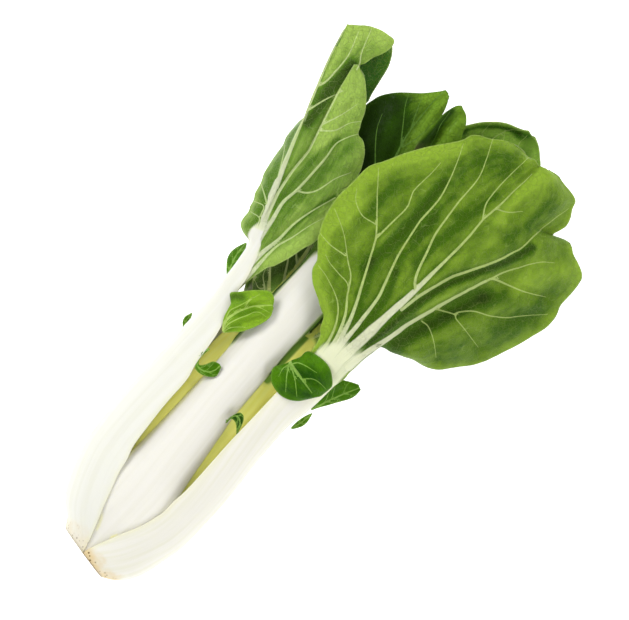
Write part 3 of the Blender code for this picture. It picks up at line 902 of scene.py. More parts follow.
def leaf_material(
    name,
    light,
    dark,
    inner_light,
    inner_dark,
    vein_colour,
    stalk_colour,
    stalk_shade,
    rough=0.42,
    net=0.14,
    stain=0.95,
):
    """The finish of one kind of leaf, from its stalk to its blade, on its outer and its inner side."""
    material, tree, shader = new_material(
        name,
        rough,
        Specular_IOR_Level=0.07,
        Subsurface_Weight=0.15,
        Subsurface_Radius=(1.0, 1.0, 0.5),
        Subsurface_Scale=0.0018,
    )
    groups = (VEIN_MASK, VEINLET_NET, STALK_GRAIN, FOOT_STAIN)
    veins, veinlets, grain, foot = (group_masks(tree, group) for group in groups)
    thick_vein = tinted(stalk_colour, VEIN_TINT)
    tissue = blade_colour(tree, veins, veinlets, (dark, light), (inner_dark, inner_light), vein_colour, net)
    vein = times(veins["Vein"], ramp(point_value(tree, "inside"), 0, 1, 0.95, 0.6))
    tissue = blend(vein, tissue, blend(veins["White"], vein_colour, thick_vein))
    pale = stalk_colouring(tree, grain["Streak"], dark, stalk_colour, stalk_shade, thick_vein)
    whole = plus(point_value(tree, "stalk"), times(veinlets["Fingers"], 0.5))
    whole = ramp(whole, 0.35, 1.2)
    colour = blend(whole, tissue, pale)
    colour = blend(times(foot["Stain"], stain), colour, STAIN_TAN)
    colour = blend(times(foot["Scar"], stain), colour, SCAR_BROWN)
    colour = blend(times(foot["Specks"], min(1.0, SPECK_STRENGTH * stain)), colour, SPECK_BROWN)
    gloss = noise(object_place(tree), 90, 3)
    tree.links.new(colour, shader.inputs["Base Color"])
    tree.links.new(leaf_bumps(tree, veinlets["Net"], grain["Ribs"], whole), shader.inputs["Normal"])
    tree.links.new(ramp(gloss, 0.3, 0.7, rough - 0.1, rough + 0.08), shader.inputs["Roughness"])
    return material


HEART_YELLOW = leaf_material(
    "heart_yellow",
    light=(0.72, 0.72, 0.22),
    dark=(0.62, 0.62, 0.15),
    inner_light=(0.70, 0.70, 0.25),
    inner_dark=(0.60, 0.60, 0.16),
    vein_colour=(0.80, 0.80, 0.42),
    stalk_colour=(0.80, 0.79, 0.42),
    stalk_shade=(0.70, 0.68, 0.26),
    stain=0.0,
)


def heart_leaf(name, end, way, depth):
    """A small gutter of a leaf that tapers to a blunt tip."""
    grid, thick = stalk_sheet(
        HEART_START, end, (way,) * 3, (way,) * 3, depth, HEART_WIDTH, HEART_THICKNESS, wrap=55, columns=25
    )
    stalk = np.clip(1.3 - 1.6 * (grid[..., 0] - HEART_START) / (end - HEART_START), 0, 1)
    veins = [([(HEART_START, BUNDLE_Y), (60, BUNDLE_Y), (end, BUNDLE_Y)], 1.2, 0.2)]
    relief = {"swelling": 0.2, "crinkle": 0.3, "ruffle": 0.2}
    leaf(name, [(grid, thick, stalk)], veins, HEART_YELLOW, "stalk_yellow_green", [name], **relief)


heart_leaf("heart_leaf_upper", 118, 0, 21)
heart_leaf("heart_leaf_lower", 104, 180, 22)


def heart_bud():
    """The bud of unopened leaves in the middle."""
    line = np.linspace((HEART_START, BUNDLE_Y, 28.6), (BUD_END, BUNDLE_Y, 28), 9)
    swell = BUD_RADIUS * np.sin(np.linspace(0.12, 0.97, 9) * math.pi)
    aside = np.stack([np.zeros(9), swell, np.zeros(9)], axis=1)
    start = np.linspace(line[0] - aside[0], line[0] + aside[0], 21)
    right, left = (line - aside)[1:], (line + aside)[1:]
    bud = blade_sheet(start, line[1:], right, left, rows=40, arch=0.4, rib=1.6, carry=3)
    sheet = (bud[0], bud[1], np.ones(bud[1].shape))
    veins = [([(HEART_START, BUNDLE_Y), (BUD_END, BUNDLE_Y)], 0.6, 0.2)]
    relief = {"swelling": 0.1, "crinkle": 0.2, "ruffle": 0.1}
    leaf("heart_bud", [sheet], veins, HEART_YELLOW, "stalk_yellow_green", ["heart_bud"], **relief)


heart_bud()

# ---------------------------------------------------------------------------------------------------
# The young leaves: a third row of three, half the size of the old ones. Their stalks are yellow-green
# because the old leaves shade them, and two of them show in the slots beside the top stalk.

YOUNG_WIDTH = [(14, 7), (30, 20), (50, 25), (100, 22), (130, 20), (150, 14)]
YOUNG_THICKNESS = [(14, 1.8), (50, 4), (100, 3.4), (150, 2.4)]
YOUNG_START = 15
YOUNG_GREEN = leaf_material(
    "young_green",
    light=(0.30, 0.46, 0.09),
    dark=(0.18, 0.33, 0.045),
    inner_light=(0.16, 0.34, 0.04),
    inner_dark=(0.08, 0.22, 0.02),
    vein_colour=(0.62, 0.70, 0.30),
    stalk_colour=(1.0, 0.98, 0.28),
    stalk_shade=(0.97, 0.92, 0.17),
    stain=0.0,
)


def young_leaf(name, place, face, depth, wrap, midrib, first, last, seed, stems=(), strokes=()):
    """A young leaf with its veins in pairs, the stems that cross it, and its strokes of painted shade."""
    stalk = stalk_sheet(
        YOUNG_START, NECK_X, place, face, depth, YOUNG_WIDTH, YOUNG_THICKNESS, wrap, columns=41
    )
    blade = blade_sheet(stalk[0][-1], midrib, first, last, rows=60, arch=1.5, rib=2)
    nodes = [name + "_stalk", name + "_blade"]
    sheet = join_sheets(stalk, blade)
    veins = side_veins(blade[2], 5, seed) + list(stems)
    leaf(name + "_leaf", [sheet], veins, YOUNG_GREEN, "young_green", nodes, shades=[strokes], seed=seed)


LEFT_STEMS = [
    ([(150, 30), (162, 29.5)], 0.9, 0.6),
    ([(161, 19), (172, 28)], 0.9, 0.5),
    ([(176, 15.5), (196, 17.5)], 0.6, 0.3),
]
# painted shade: the young leaf darkened where it lies deep in the gap between the left and top stalks
LEFT_SHADE = [([(152, 26), (168, 25), (180, 21), (192, 21)], 4, 1.3)]
# painted shade: the slot beside the top stalk darkened to olive, and a dark band of shadow along the top
# stalk's right edge
RIGHT_SHADE = [
    ([(55, -16), (95, -13), (128, -13)], 5, 0.72),
    ([(128, -9.5), (150, -10), (172, -10.5)], 2.2, 1.6),
]
for side, name, stems, strokes in (
    (1, "inner_left", LEFT_STEMS, LEFT_SHADE),
    (-1, "inner_right", [], RIGHT_SHADE),
):
    young_leaf(
        name,
        place=(side * 46, side * 46, side * 30),
        face=(side * 46, side * 46, side * 20),
        depth=11,
        wrap=55,
        midrib=[(175, side * 15 + 2, 29), (205, side * 19 + 2, 27), (232, side * 22, 26)],
        first=[(175, side * 15 - 9, 27), (205, side * 19 - 12, 25), (230, side * 22 - 5, 25)],
        last=[
            (163, side * 12 + 19, 27), (175, side * 15 + 14, 27), (205, side * 19 + 18, 25),
            (230, side * 22 + 5, 25),
        ],
        seed=11 + side,
        stems=stems,
        strokes=strokes,
    )
young_leaf(
    "inner_under",
    place=(180, 180, 180),
    face=(180, 180, 180),
    depth=17,
    wrap=50,
    midrib=[(180, 1, 17), (215, -1, 17), (244, -3, 18)],
    first=[(175, 18, 20), (210, 21, 20), (243, 5, 19)],
    last=[(175, -16, 20), (210, -22, 20), (243, -11, 19)],
    seed=14,
)

# ---------------------------------------------------------------------------------------------------
# The second row: a full-grown leaf on top, whose rounded white stalk fills the middle of the head,
# and two that lie low at the sides. The top one's blade turns its dark glossy inner side up, and its
# green is darkened further with painted shade, as it lies under the big leaves.

SECOND_WIDTH = [(8, 10), (20, 26), (50, 34), (100, 30), (150, 18)]
SECOND_THICKNESS = [(8, 2), (20, 3), (50, 5.5), (100, 4.5), (150, 3)]
TOP_WIDTH = [
    (2, 4), (10, 8), (16, 12), (30, 27), (42, 40), (50, 44), (80, 38), (100, 34), (150, 32), (180, 26),
]
TOP_THICKNESS = [(2, 1.8), (12, 3), (50, 7.5), (100, 6), (150, 4.5), (180, 3)]
OUTER_GREEN = leaf_material(
    "outer_green",
    light=(0.262, 0.418, 0.032),
    dark=(0.048, 0.125, 0.001),
    inner_light=(0.220, 0.390, 0.045),
    inner_dark=(0.040, 0.130, 0.004),
    vein_colour=(0.46, 0.58, 0.18),
    stalk_colour=(0.79, 0.775, 0.70),
    stalk_shade=(0.73, 0.72, 0.58),
)
# a darker green for the top leaf: its inner side's own green, with painted shade because the big leaves lie
# over it
SHADED_GREEN = leaf_material(
    "shaded_green",
    light=(0.160, 0.300, 0.020),
    dark=(0.025, 0.075, 0.002),
    inner_light=(0.160, 0.300, 0.020),
    inner_dark=(0.025, 0.075, 0.002),
    vein_colour=(0.12, 0.24, 0.04),
    stalk_colour=(0.755, 0.74, 0.68),
    stalk_shade=(0.715, 0.70, 0.62),
    rough=0.36,
    net=0.06,
    stain=0.1,
)
TOP_DROP = [(1, 0.2), (30, 0.22), (50, 0.45), (75, 0.85), (180, 1)]
TOP_RIGHT_EDGE = [
    (1, -2), (10, -6), (17, -9.5), (21, -12), (30, -16), (42, -18.5), (50, -17.5), (61, -15.5), (80, -13),
    (92, -11.5), (105, -10), (150, -9), (180, -9),
]
TOP_LEFT_EDGE = [
    (1, 2.5), (10, 6), (17, 9), (21, 11.5), (30, 15), (42, 17.2), (50, 17), (61, 16.4), (80, 15.8),
    (110, 15.4), (150, 16), (165, 16.3), (180, 16.3),
]


def top_leaf():
    """The leaf on top, with the tip of its blade curled over in a sheet of its own."""
    stalk = stalk_sheet(
        start=-0.6,
        end=178,
        place=(-9, -4, 3),
        face=(-4, -2, 0),
        depth=2.6,
        width=TOP_WIDTH,
        thickness=TOP_THICKNESS,
        wrap=74,
        columns=91,
        plan=(TOP_RIGHT_EDGE, TOP_LEFT_EDGE),
        drop=TOP_DROP,
    )
    midrib = [(200, 6, 41.5), (230, 11, 38), (255, 16, 36), (278, 21, 34), (298, 19.8, 33.6)]
    left = [
        (195, 18, 38), (215, 31, 36), (240, 41, 34), (262, 46, 33), (270, 45.3, 33), (275, 43.3, 33),
        (280, 39.5, 33.5), (284, 35.3, 34), (288, 30.3, 34), (292, 26.3, 34), (295.5, 23.3, 34),
        (298.2, 21.3, 34),
    ]
    right = [
        (195, -9, 37), (215, -12, 36), (240, -10, 35), (262, -2, 34), (276, 8, 34), (285, 13.2, 34),
        (290, 14.6, 34), (294, 16.2, 34), (297, 18, 34),
    ]
    blade = blade_sheet(stalk[0][-1], midrib, right, left, rows=120, arch=2, rib=4)
    curl_start = np.linspace((258, -4, 35), (262, 12, 36), 31)
    curl_right = [
        (270, -4, 37), (282, -3, 38), (287.5, 0, 38.5), (291.3, 1.4, 38.5), (295, 4.4, 38),
        (296.3, 6.2, 38),
    ]
    curl_middle = [(272, 6.5, 38.5), (285, 8, 40), (293, 8.2, 39.5), (297, 8.2, 38.3)]
    curl_left = [
        (270, 14, 38), (281, 14.8, 39), (289, 14.2, 39), (293, 13.2, 39), (296, 11.8, 38.8),
        (297.7, 10, 38.5),
    ]
    curl, curl_thick, _ = blade_sheet(
        curl_start, curl_middle, curl_right, curl_left, rows=60, arch=1.0, rib=1.2, carry=4
    )
    curl = pleat(curl, [(262, 6), (272, 8), (281, 9.5), (290, 9.5), (296, 8)], depth=2.0, width=2.0)
    veins = [
        ([(180, 4), (200, 6), (230, 10.5), (255, 17.3), (265, 20), (275, 21.3), (290, 22),
          (297, 21.3)], 2.6, 0.25),
        ([(230, 10), (243, 20), (252, 28), (260, 34), (267, 37)], 0.6, 0.12),
        ([(262, 19.5), (271, 26), (278, 31), (284, 34)], 0.4, 0.1),
        ([(272, 21.3), (280, 25), (288, 28)], 0.35, 0.1),
        ([(262, 18), (272, 15.5), (284, 15)], 0.3, 0.1),
        ([(262, 7), (275, 9), (284, 11.5), (291, 12.5)], 0.35, 0.1),
        ([(220, 7), (232, 22), (240, 33)], 0.5, 0.12),
    ]
    # painted shade and light: the big left leaf's shadow over the blade, paler patches near its tip, the
    # shaded right side of the stalk, and yellow in the notches and as a painted reflection of the slots along
    # the stalk's edges
    blade_shades = [
        ([(236, 26), (252, 32), (264, 38), (272, 38)], 8, 1.5),
        ([(252, 20), (262, 23.5), (272, 26)], 4, 0.75),
        ([(276, 34), (283, 31)], 4, 0.35),
        ([(270, 16), (282, 18), (292, 19.5)], 2.5, -0.6),
        ([(288, 25), (296, 21)], 3, -0.5),
        ([(24, -12), (45, -17), (60, -15), (90, -11.5), (135, -9)], 3.5, 0.74),
        ([(150, 20), (170, 18), (190, 22)], 4, 0.8),
        ([(50, 17.4), (61, 16.6), (80, 16), (115, 15.6)], 2.6, -0.75),
        ([(45, -19), (61, -16), (80, -13.5), (95, -11.8)], 2.4, -0.85),
        ([(12.5, 3.4), (16, 4.2), (20.5, 6.6)], 1.5, -0.62),
        ([(14.5, -5.2), (17.5, -6.6)], 1.5, -0.8),
    ]
    # painted shade in the curl's fold, and painted light beside it
    curl_shades = [
        ([(266, 11.5), (276, 11), (285, 12), (292, 12)], 2.2, 1.0),
        ([(272, 4), (282, 5), (290, 4)], 3, -0.6),
    ]
    leaf(
        "top_leaf",
        [join_sheets(stalk, blade, fan=26.0, wing=126.0), (curl, curl_thick, np.zeros(curl_thick.shape))],
        veins,
        SHADED_GREEN,
        "blade_green",
        ["top_stalk", "top_blade"],
        crinkle=1.6,
        shades=[blade_shades, curl_shades],
        seed=21,
    )


top_leaf()


def low_leaf(name, side, midrib, first, last, seed):
    """One of the two leaves that lie low at the head's sides."""
    stalk = stalk_sheet(
        start=10,
        end=NECK_X,
        place=(side * 116, side * 116, side * 112),
        face=(side * 116, side * 116, side * 118),
        depth=11.5,
        width=SECOND_WIDTH,
        thickness=SECOND_THICKNESS,
        wrap=50,
        columns=61,
    )
    blade = blade_sheet(stalk[0][-1], midrib, first, last, rows=100, arch=2, rib=3)
    nodes = [name + "_stalk", name + "_blade"]
    veins = side_veins(blade[2], 6, seed)
    leaf(name + "_leaf", [join_sheets(stalk, blade)], veins, OUTER_GREEN, "blade_green", nodes, seed=seed)


low_leaf(
    "lower_left",
    1,
    midrib=[(190, 34, 13), (215, 38, 10), (245, 43, 8), (263, 47, 8)],
    first=[(190, 47, 11), (215, 55, 5), (240, 59, 1), (260, 54, 3)],
    last=[(190, 15, 14), (215, 18, 13), (245, 29, 12), (262, 40, 10)],
    seed=31,
)
low_leaf(
    "lower_right",
    -1,
    midrib=[(190, -37, 13), (225, -53, 9), (255, -66, 7), (266, -72, 7)],
    first=[(190, -18, 14), (225, -27, 13), (255, -43, 12), (268, -62, 9)],
    last=[(190, -42, 16), (205, -60, 5), (225, -76, 1), (250, -84, 1), (264, -80, 3)],
    seed=32,
)

# ---------------------------------------------------------------------------------------------------
# The leaf that the head lies on: an old outer leaf whose stalk rests flat and whose blade spreads out
# under all the others, with its dark inner side up. Only its tip shows past the big leaf.

OUTER_WIDTH = [
    (-4, 28), (4, 34), (12, 44), (24, 54), (50, 54), (80, 48), (100, 45), (130, 34), (150, 22), (175, 14),
]
OUTER_THICKNESS = [(-4, 3.6), (12, 5.5), (50, 8.5), (100, 6.5), (150, 4.5), (180, 3)]
UNDER_WIDTH = [
    (-4, 31), (4, 34), (12, 43), (24, 52), (50, 54), (80, 48), (100, 44), (130, 34), (150, 22), (175, 14),
]


def under_leaf():
    """The leaf that the head lies on. Its blade runs out flat along the floor."""
    stalk = stalk_sheet(
        start=CUT_X,
        end=NECK_X,
        place=(180, 180, 182),
        face=(180, 180, 180),
        depth=-0.5,
        width=UNDER_WIDTH,
        thickness=OUTER_THICKNESS,
        wrap=50,
        columns=81,
    )
    midrib = [(200, -6, 0.6), (250, -14, 0.6), (285, -19, 1.8), (311.2, -26.5, 5)]
    left = [
        (180, 27, 6), (220, 33, 6), (262, 18, 6), (280, 9, 6), (287.6, 3.9, 6), (293.8, 0.4, 6.5),
        (301, -5.2, 7), (306.8, -12.8, 7.5), (309.4, -20, 7.5), (311.8, -24.4, 6.5),
    ]
    right = [
        (180, -26, 6), (220, -42, 6), (262, -50, 6), (290, -46, 6), (301, -41.5, 6), (305, -38, 6),
        (309.6, -32.3, 6.2), (311.2, -28.3, 6.2),
    ]
    blade = blade_sheet(stalk[0][-1], midrib, left, right, rows=130, arch=0.8, rib=4)
    nodes = ["under_stalk", "under_blade"]
    veins = side_veins(blade[2], 6, 41, reach=1.0)
    veins += [
        ([(296, -20), (301, -17), (305, -14)], 0.3, 0.1),
        ([(298, -27), (304, -25), (309, -25)], 0.4, 0.15),
    ]
    # painted shade and light on the tip that shows past the big leaf
    shades = [
        ([(286, 2), (296, -4), (304, -13), (308, -22)], 1.3, 0.9),
        ([(292, -3), (298, -10), (302, -17), (303, -24)], 2.5, -0.9),
        ([(300, -26), (306, -30), (303, -37)], 2.5, -0.3),
        ([(305, -22), (310, -26)], 2.0, 0.6),
    ]
    leaf(
        "under_leaf",
        [join_sheets(stalk, blade)],
        veins,
        OUTER_GREEN,
        "blade_green",
        nodes,
        crinkle=2.0,
        shades=[shades],
        seed=41,
    )


under_leaf()

# ---------------------------------------------------------------------------------------------------
# The right outer leaf: the biggest one, which lies on top. Its pale outer side faces up. The thick
# stalk fans out into veins where the blade starts, and the blade's right half bends down beside the
# head in two long folds.

RIGHT_SIDE = [
    (-4, 18), (4, 27), (10, 32), (17, 35), (33, 38.7), (50, 40.2), (107, 38.2), (130, 39.5), (155, 39.5),
]
RIGHT_THICKNESS = [(-4, 8.5), (6, 8.2), (20, 7.8), (50, 8.5), (100, 6.5), (150, 4.5), (180, 3)]
RIGHT_LEAF_RIGHT_EDGE = [
    (-4, -9), (-1, -14.6), (1.3, -19.4), (4.1, -23.8), (7.5, -27), (12, -29.7), (17, -31.5), (26, -33.8),
    (33, -35.4), (42, -36), (61, -36.4), (77, -35.8), (92, -34.6), (117, -34.3), (130, -36.5),
    (153, -37.7),
]
RIGHT_LEAF_LEFT_EDGE = [
    (-4, 0.8), (0, 0.4), (5, -1.2), (10, -3.4), (17, -6.5), (26, -11), (33, -13.8), (42, -16.2),
    (50, -16.5), (61, -17.5), (92, -17.3), (107, -17.7), (130, -18), (153, -18),
]


def right_outer_leaf():
    """The big leaf on top, with its two long folds and its veins as they branch."""
    stalk = stalk_sheet(
        start=CUT_X,
        end=NECK_X,
        place=(-62, -67, -56),
        face=(-57, -71, -36),
        depth=0,
        width=OUTER_WIDTH,
        thickness=RIGHT_THICKNESS,
        wrap=53,
        columns=139,
        side=RIGHT_SIDE,
        rise=8,
        plan=(RIGHT_LEAF_RIGHT_EDGE, RIGHT_LEAF_LEFT_EDGE),
    )
    midrib = [
        (160, -31, 51), (170, -32, 52), (190, -34, 54), (210, -35.5, 55), (245, -37.5, 55),
        (270, -38, 52.5), (290, -39, 48.5), (301, -39.5, 45.5),
    ]
    left = [
        (161.7, -16, 50), (167, -12.7, 51.5), (171.7, -10, 53), (174, -6.5, 53.5), (177, 0.5, 54),
        (180, 6, 54), (185, 10.5, 54), (190, 12, 54), (196, 17, 53.5), (200, 20, 53), (210, 24, 52.5),
        (220, 25.5, 52), (230, 25, 52), (240, 24.5, 51.5), (245, 23, 51), (250, 20, 51), (260, 15, 51),
        (270, 8.5, 50.5), (280, 1, 50), (285, -2.2, 50), (290, -4.5, 49.5), (294, -11, 48.5),
        (298, -18, 47), (300, -25, 46), (301, -34, 45.8),
    ]
    right = [
        (160, -38.5, 43), (170, -40, 41), (180, -41.7, 39), (187, -43.5, 37), (188.5, -49.5, 33),
        (188, -55.5, 30), (187.5, -61.5, 27), (190, -70, 22), (196, -76, 18.5), (205, -83.5, 13),
        (220, -90, 9.5), (235, -95, 7.5), (248, -98, 6.5), (256, -95.5, 7), (265, -95.5, 7.5),
        (271, -95, 8), (275, -93, 9.5), (279, -83, 14), (281.5, -78.6, 16.5), (277, -73, 20.5),
        (280, -68.2, 23), (289, -69.8, 22), (298, -66.5, 25), (301, -64, 27), (302.5, -56, 33),
        (303.3, -51, 37), (302.3, -45, 42),
    ]
    blade = blade_sheet(stalk[0][-1], midrib, right, left, rows=215, arch=4, rib=5)
    grid, thick, whole = join_sheets(stalk, blade, fan=24.0, soft=4.5, green=0.22)
    for line, depth, width in (
        ([(196, -36.5), (210, -38.5), (230, -45), (250, -56), (266, -61)], 3.2, 3.5),
        ([(176, -39), (190, -42.5), (210, -47.8), (230, -55.5), (243, -61), (262, -67)], 6, 5),
        ([(200, -22), (215, -18), (240, -13), (262, -11)], 1.0, 5),
        ([(196, -13), (215, -5), (235, -2), (255, 0)], 0.9, 5),
    ):
        grid = pleat(grid, line, depth, width)
    veins = [
        ([(150, -29), (168, -31.1), (182, -32.6)], 4.6, 2.5),
        ([(182, -32.6), (198, -34.2)], 2.5, 1.6),
        ([(198, -34.2), (212, -35.6), (245, -37.4), (262, -37)], 1.6, 0.5),
        ([(262, -37), (270, -38), (280, -38.8), (295, -40)], 0.5, 0.2),
        ([(212, -35.5), (215, -32.5), (220, -30), (230, -27), (240, -24), (250, -22.8),
          (260, -21.8)], 0.7, 0.4),
        ([(260, -21.8), (275, -21.3), (285, -18), (295, -13.5)], 0.4, 0.15),
        ([(262, -36.5), (268, -33), (275, -32), (285, -32), (300, -33)], 0.4, 0.15),
        ([(270, -38), (273, -44), (278, -49)], 0.35, 0.15),
        ([(150, -27), (160, -26.5), (168, -26), (183, -25.2), (196, -24), (205, -21.5), (220, -17),
          (240, -13.6)], 1.8, 0.45),
        ([(240, -13.6), (254, -13.5), (265, -11), (275, -7.5), (283, -4)], 0.55, 0.15),
        ([(150, -25), (160, -25), (168, -23.8), (182.5, -19.5), (200, -11.5), (218, -3)], 1.7, 0.5),
        ([(218, -3), (230, -3.7), (240, -4.2), (245, -2.5), (250, -1), (262, -1.8),
          (268, -1.7)], 0.5, 0.15),
        ([(218, -3), (223, 1), (230, 7), (235, 11.5), (240, 15.5), (245, 19.5)], 0.45, 0.15),
        ([(150, -23.5), (165, -22.5), (178, -17.8), (187, -11.5), (195, -6.5), (200, 0), (209, 11),
          (215, 22.5)], 1.4, 0.15),
        ([(201, 3), (200, 12), (201, 21)], 0.35, 0.12),
        ([(150, -21.5), (164, -19.8), (174, -16), (181.5, -9.3), (186.5, 2), (188, 9)], 1.2, 0.15),
        ([(185, -13), (191, -8), (192, -1), (193, 6), (194.5, 10)], 0.35, 0.12),
        ([(223, 3), (222, 10), (225, 17), (230, 21)], 0.3, 0.12),
        ([(200, -37), (210, -38.7), (220, -41.5), (230, -45), (240, -50.5), (250, -56),
          (260, -59.8)], 0.8, 0.5),
        ([(260, -59.8), (265, -61.5), (280, -62.8), (295, -65.5)], 0.45, 0.15),
        ([(160, -36.6), (170, -38), (180, -40.2), (200, -45.3), (220, -51.7), (240, -59.2)], 1.7, 0.7),
        ([(240, -59.2), (243, -61), (246, -70), (249, -78), (254, -87)], 0.6, 0.15),
        ([(240, -59.2), (247, -62), (255, -66.5), (265, -73), (270, -79)], 0.5, 0.15),
        ([(212, -50), (216, -58.5), (215, -61), (214, -68), (212, -79)], 0.4, 0.12),
        ([(216, -58.5), (219, -60), (224, -65), (228, -73), (233, -80), (240, -86),
          (248, -94)], 0.4, 0.12),
        ([(202.5, -49), (202.5, -53), (199.5, -59), (194, -66)], 0.35, 0.12),
    ]
    leaf(
        "right_outer_leaf",
        [(grid, thick, whole)],
        veins,
        OUTER_GREEN,
        "blade_green",
        ["right_outer_stalk", "right_outer_blade"],
        height=0.6,
        swelling=1.6,
        crinkle=2.0,
        # painted shade in the creases of the two long folds and between the veins, and painted light and
        # sheen on the rises, with some of the blade's own tone
        shades=[[
            ([(175, -22), (188, -19), (200, -14), (208, -9)], 2.2, 0.45),
            ([(170, -28.7), (185, -28), (200, -26.5), (212, -22)], 1.8, 0.7),
            ([(203, -9), (220, -10.5), (240, -10.5), (262, -10)], 3.2, 0.75),
            ([(232, -18), (246, -18)], 3, 0.4),
            ([(214, 14), (226, 16)], 3.5, -0.65),
            ([(212, -21), (235, -18.5), (260, -17.5)], 2.8, 0.4),
            ([(222, -26.5), (240, -28), (262, -31), (275, -34)], 2.6, 0.45),
            ([(175, -35.7), (190, -38), (205, -40.2), (222, -44.8), (238, -52), (255, -60.5),
              (268, -65)], 1.8, 1.1),
            ([(185, -46), (198, -50.5), (212, -56), (232, -63)], 4.5, 0.95),
            ([(232, -64), (240, -72)], 4, 0.5),
            ([(225, -79), (245, -87)], 4, 0.35),
            ([(262, -52), (275, -55), (290, -57)], 4.0, 0.35),
            ([(236, -41), (248, -45), (258, -48)], 2.5, -0.25),
            ([(224, 6), (236, 8), (248, 7)], 3.5, 0.35),
            ([(270, -12), (282, -16), (290, -26)], 7, 0.4),
            ([(255, -26), (268, -28)], 3, 0.3),
            ([(196, -67), (215, -80), (240, -89), (262, -90)], 7, 0.3),
            ([(180, 6), (198, 16), (225, 22), (247, 19), (262, 10), (278, -2)], 4.5, -0.6),
            ([(206, -45), (222, -50.5), (236, -58)], 1.5, -0.35),
            ([(268, -43), (288, -42), (300, -47)], 4, -0.6),
            ([(252, -74), (264, -80), (270, -86)], 6, -0.45),
            ([(154, -17), (165, -16), (173, -10), (178, 0)], 2.5, -0.7),
        ]],
        seed=3,
    )


right_outer_leaf()

# ---------------------------------------------------------------------------------------------------
# The left outer leaf: it lies with its pale outer side up and is folded along its midrib, so that its
# left half shows beside the stalk, then passes under and out at the tip with its dark glossy inner
# side up, darker still with painted shade. A lobe of its right half lies over the rest along the second rib.

THIN_TIP = 0.35  # how much of the blade's thickness is left at its tip, where it turns over
LEFT_LEAF_RIGHT_EDGE = [
    (-2, 0.4), (5.5, 2.2), (12, 4.3), (17, 6), (24, 8.5), (32, 11), (42, 14.2), (50, 15.8), (57, 18),
    (69, 19.2), (84, 20.2), (100, 20.4), (110, 22.5), (120, 23.5), (130, 25), (140, 28), (150, 31),
    (160, 32.5), (172, 36),
]
LEFT_LEAF_LEFT_EDGE = [
    (-2, 15), (2.8, 17.7), (5.5, 18.7), (8, 22), (12, 26), (17, 29), (24, 32), (32, 35), (42, 37.7),
    (50, 39), (69, 40), (100, 40), (140, 40), (150, 41), (160, 41.7), (170, 43), (175, 44),
]
# the inner side's greens are very dark: its own deeper green, darkened with painted shade where the blade
# passes under its fold
PALE_GREEN = leaf_material(
    "pale_green",
    light=(0.325, 0.490, 0.085),
    dark=(0.085, 0.195, 0.012),
    inner_light=(0.040, 0.150, 0.010),
    inner_dark=(0.010, 0.055, 0.003),
    vein_colour=(0.54, 0.66, 0.28),
    stalk_colour=(0.73, 0.73, 0.665),
    stalk_shade=(0.69, 0.69, 0.60),
    stain=0.35,
)


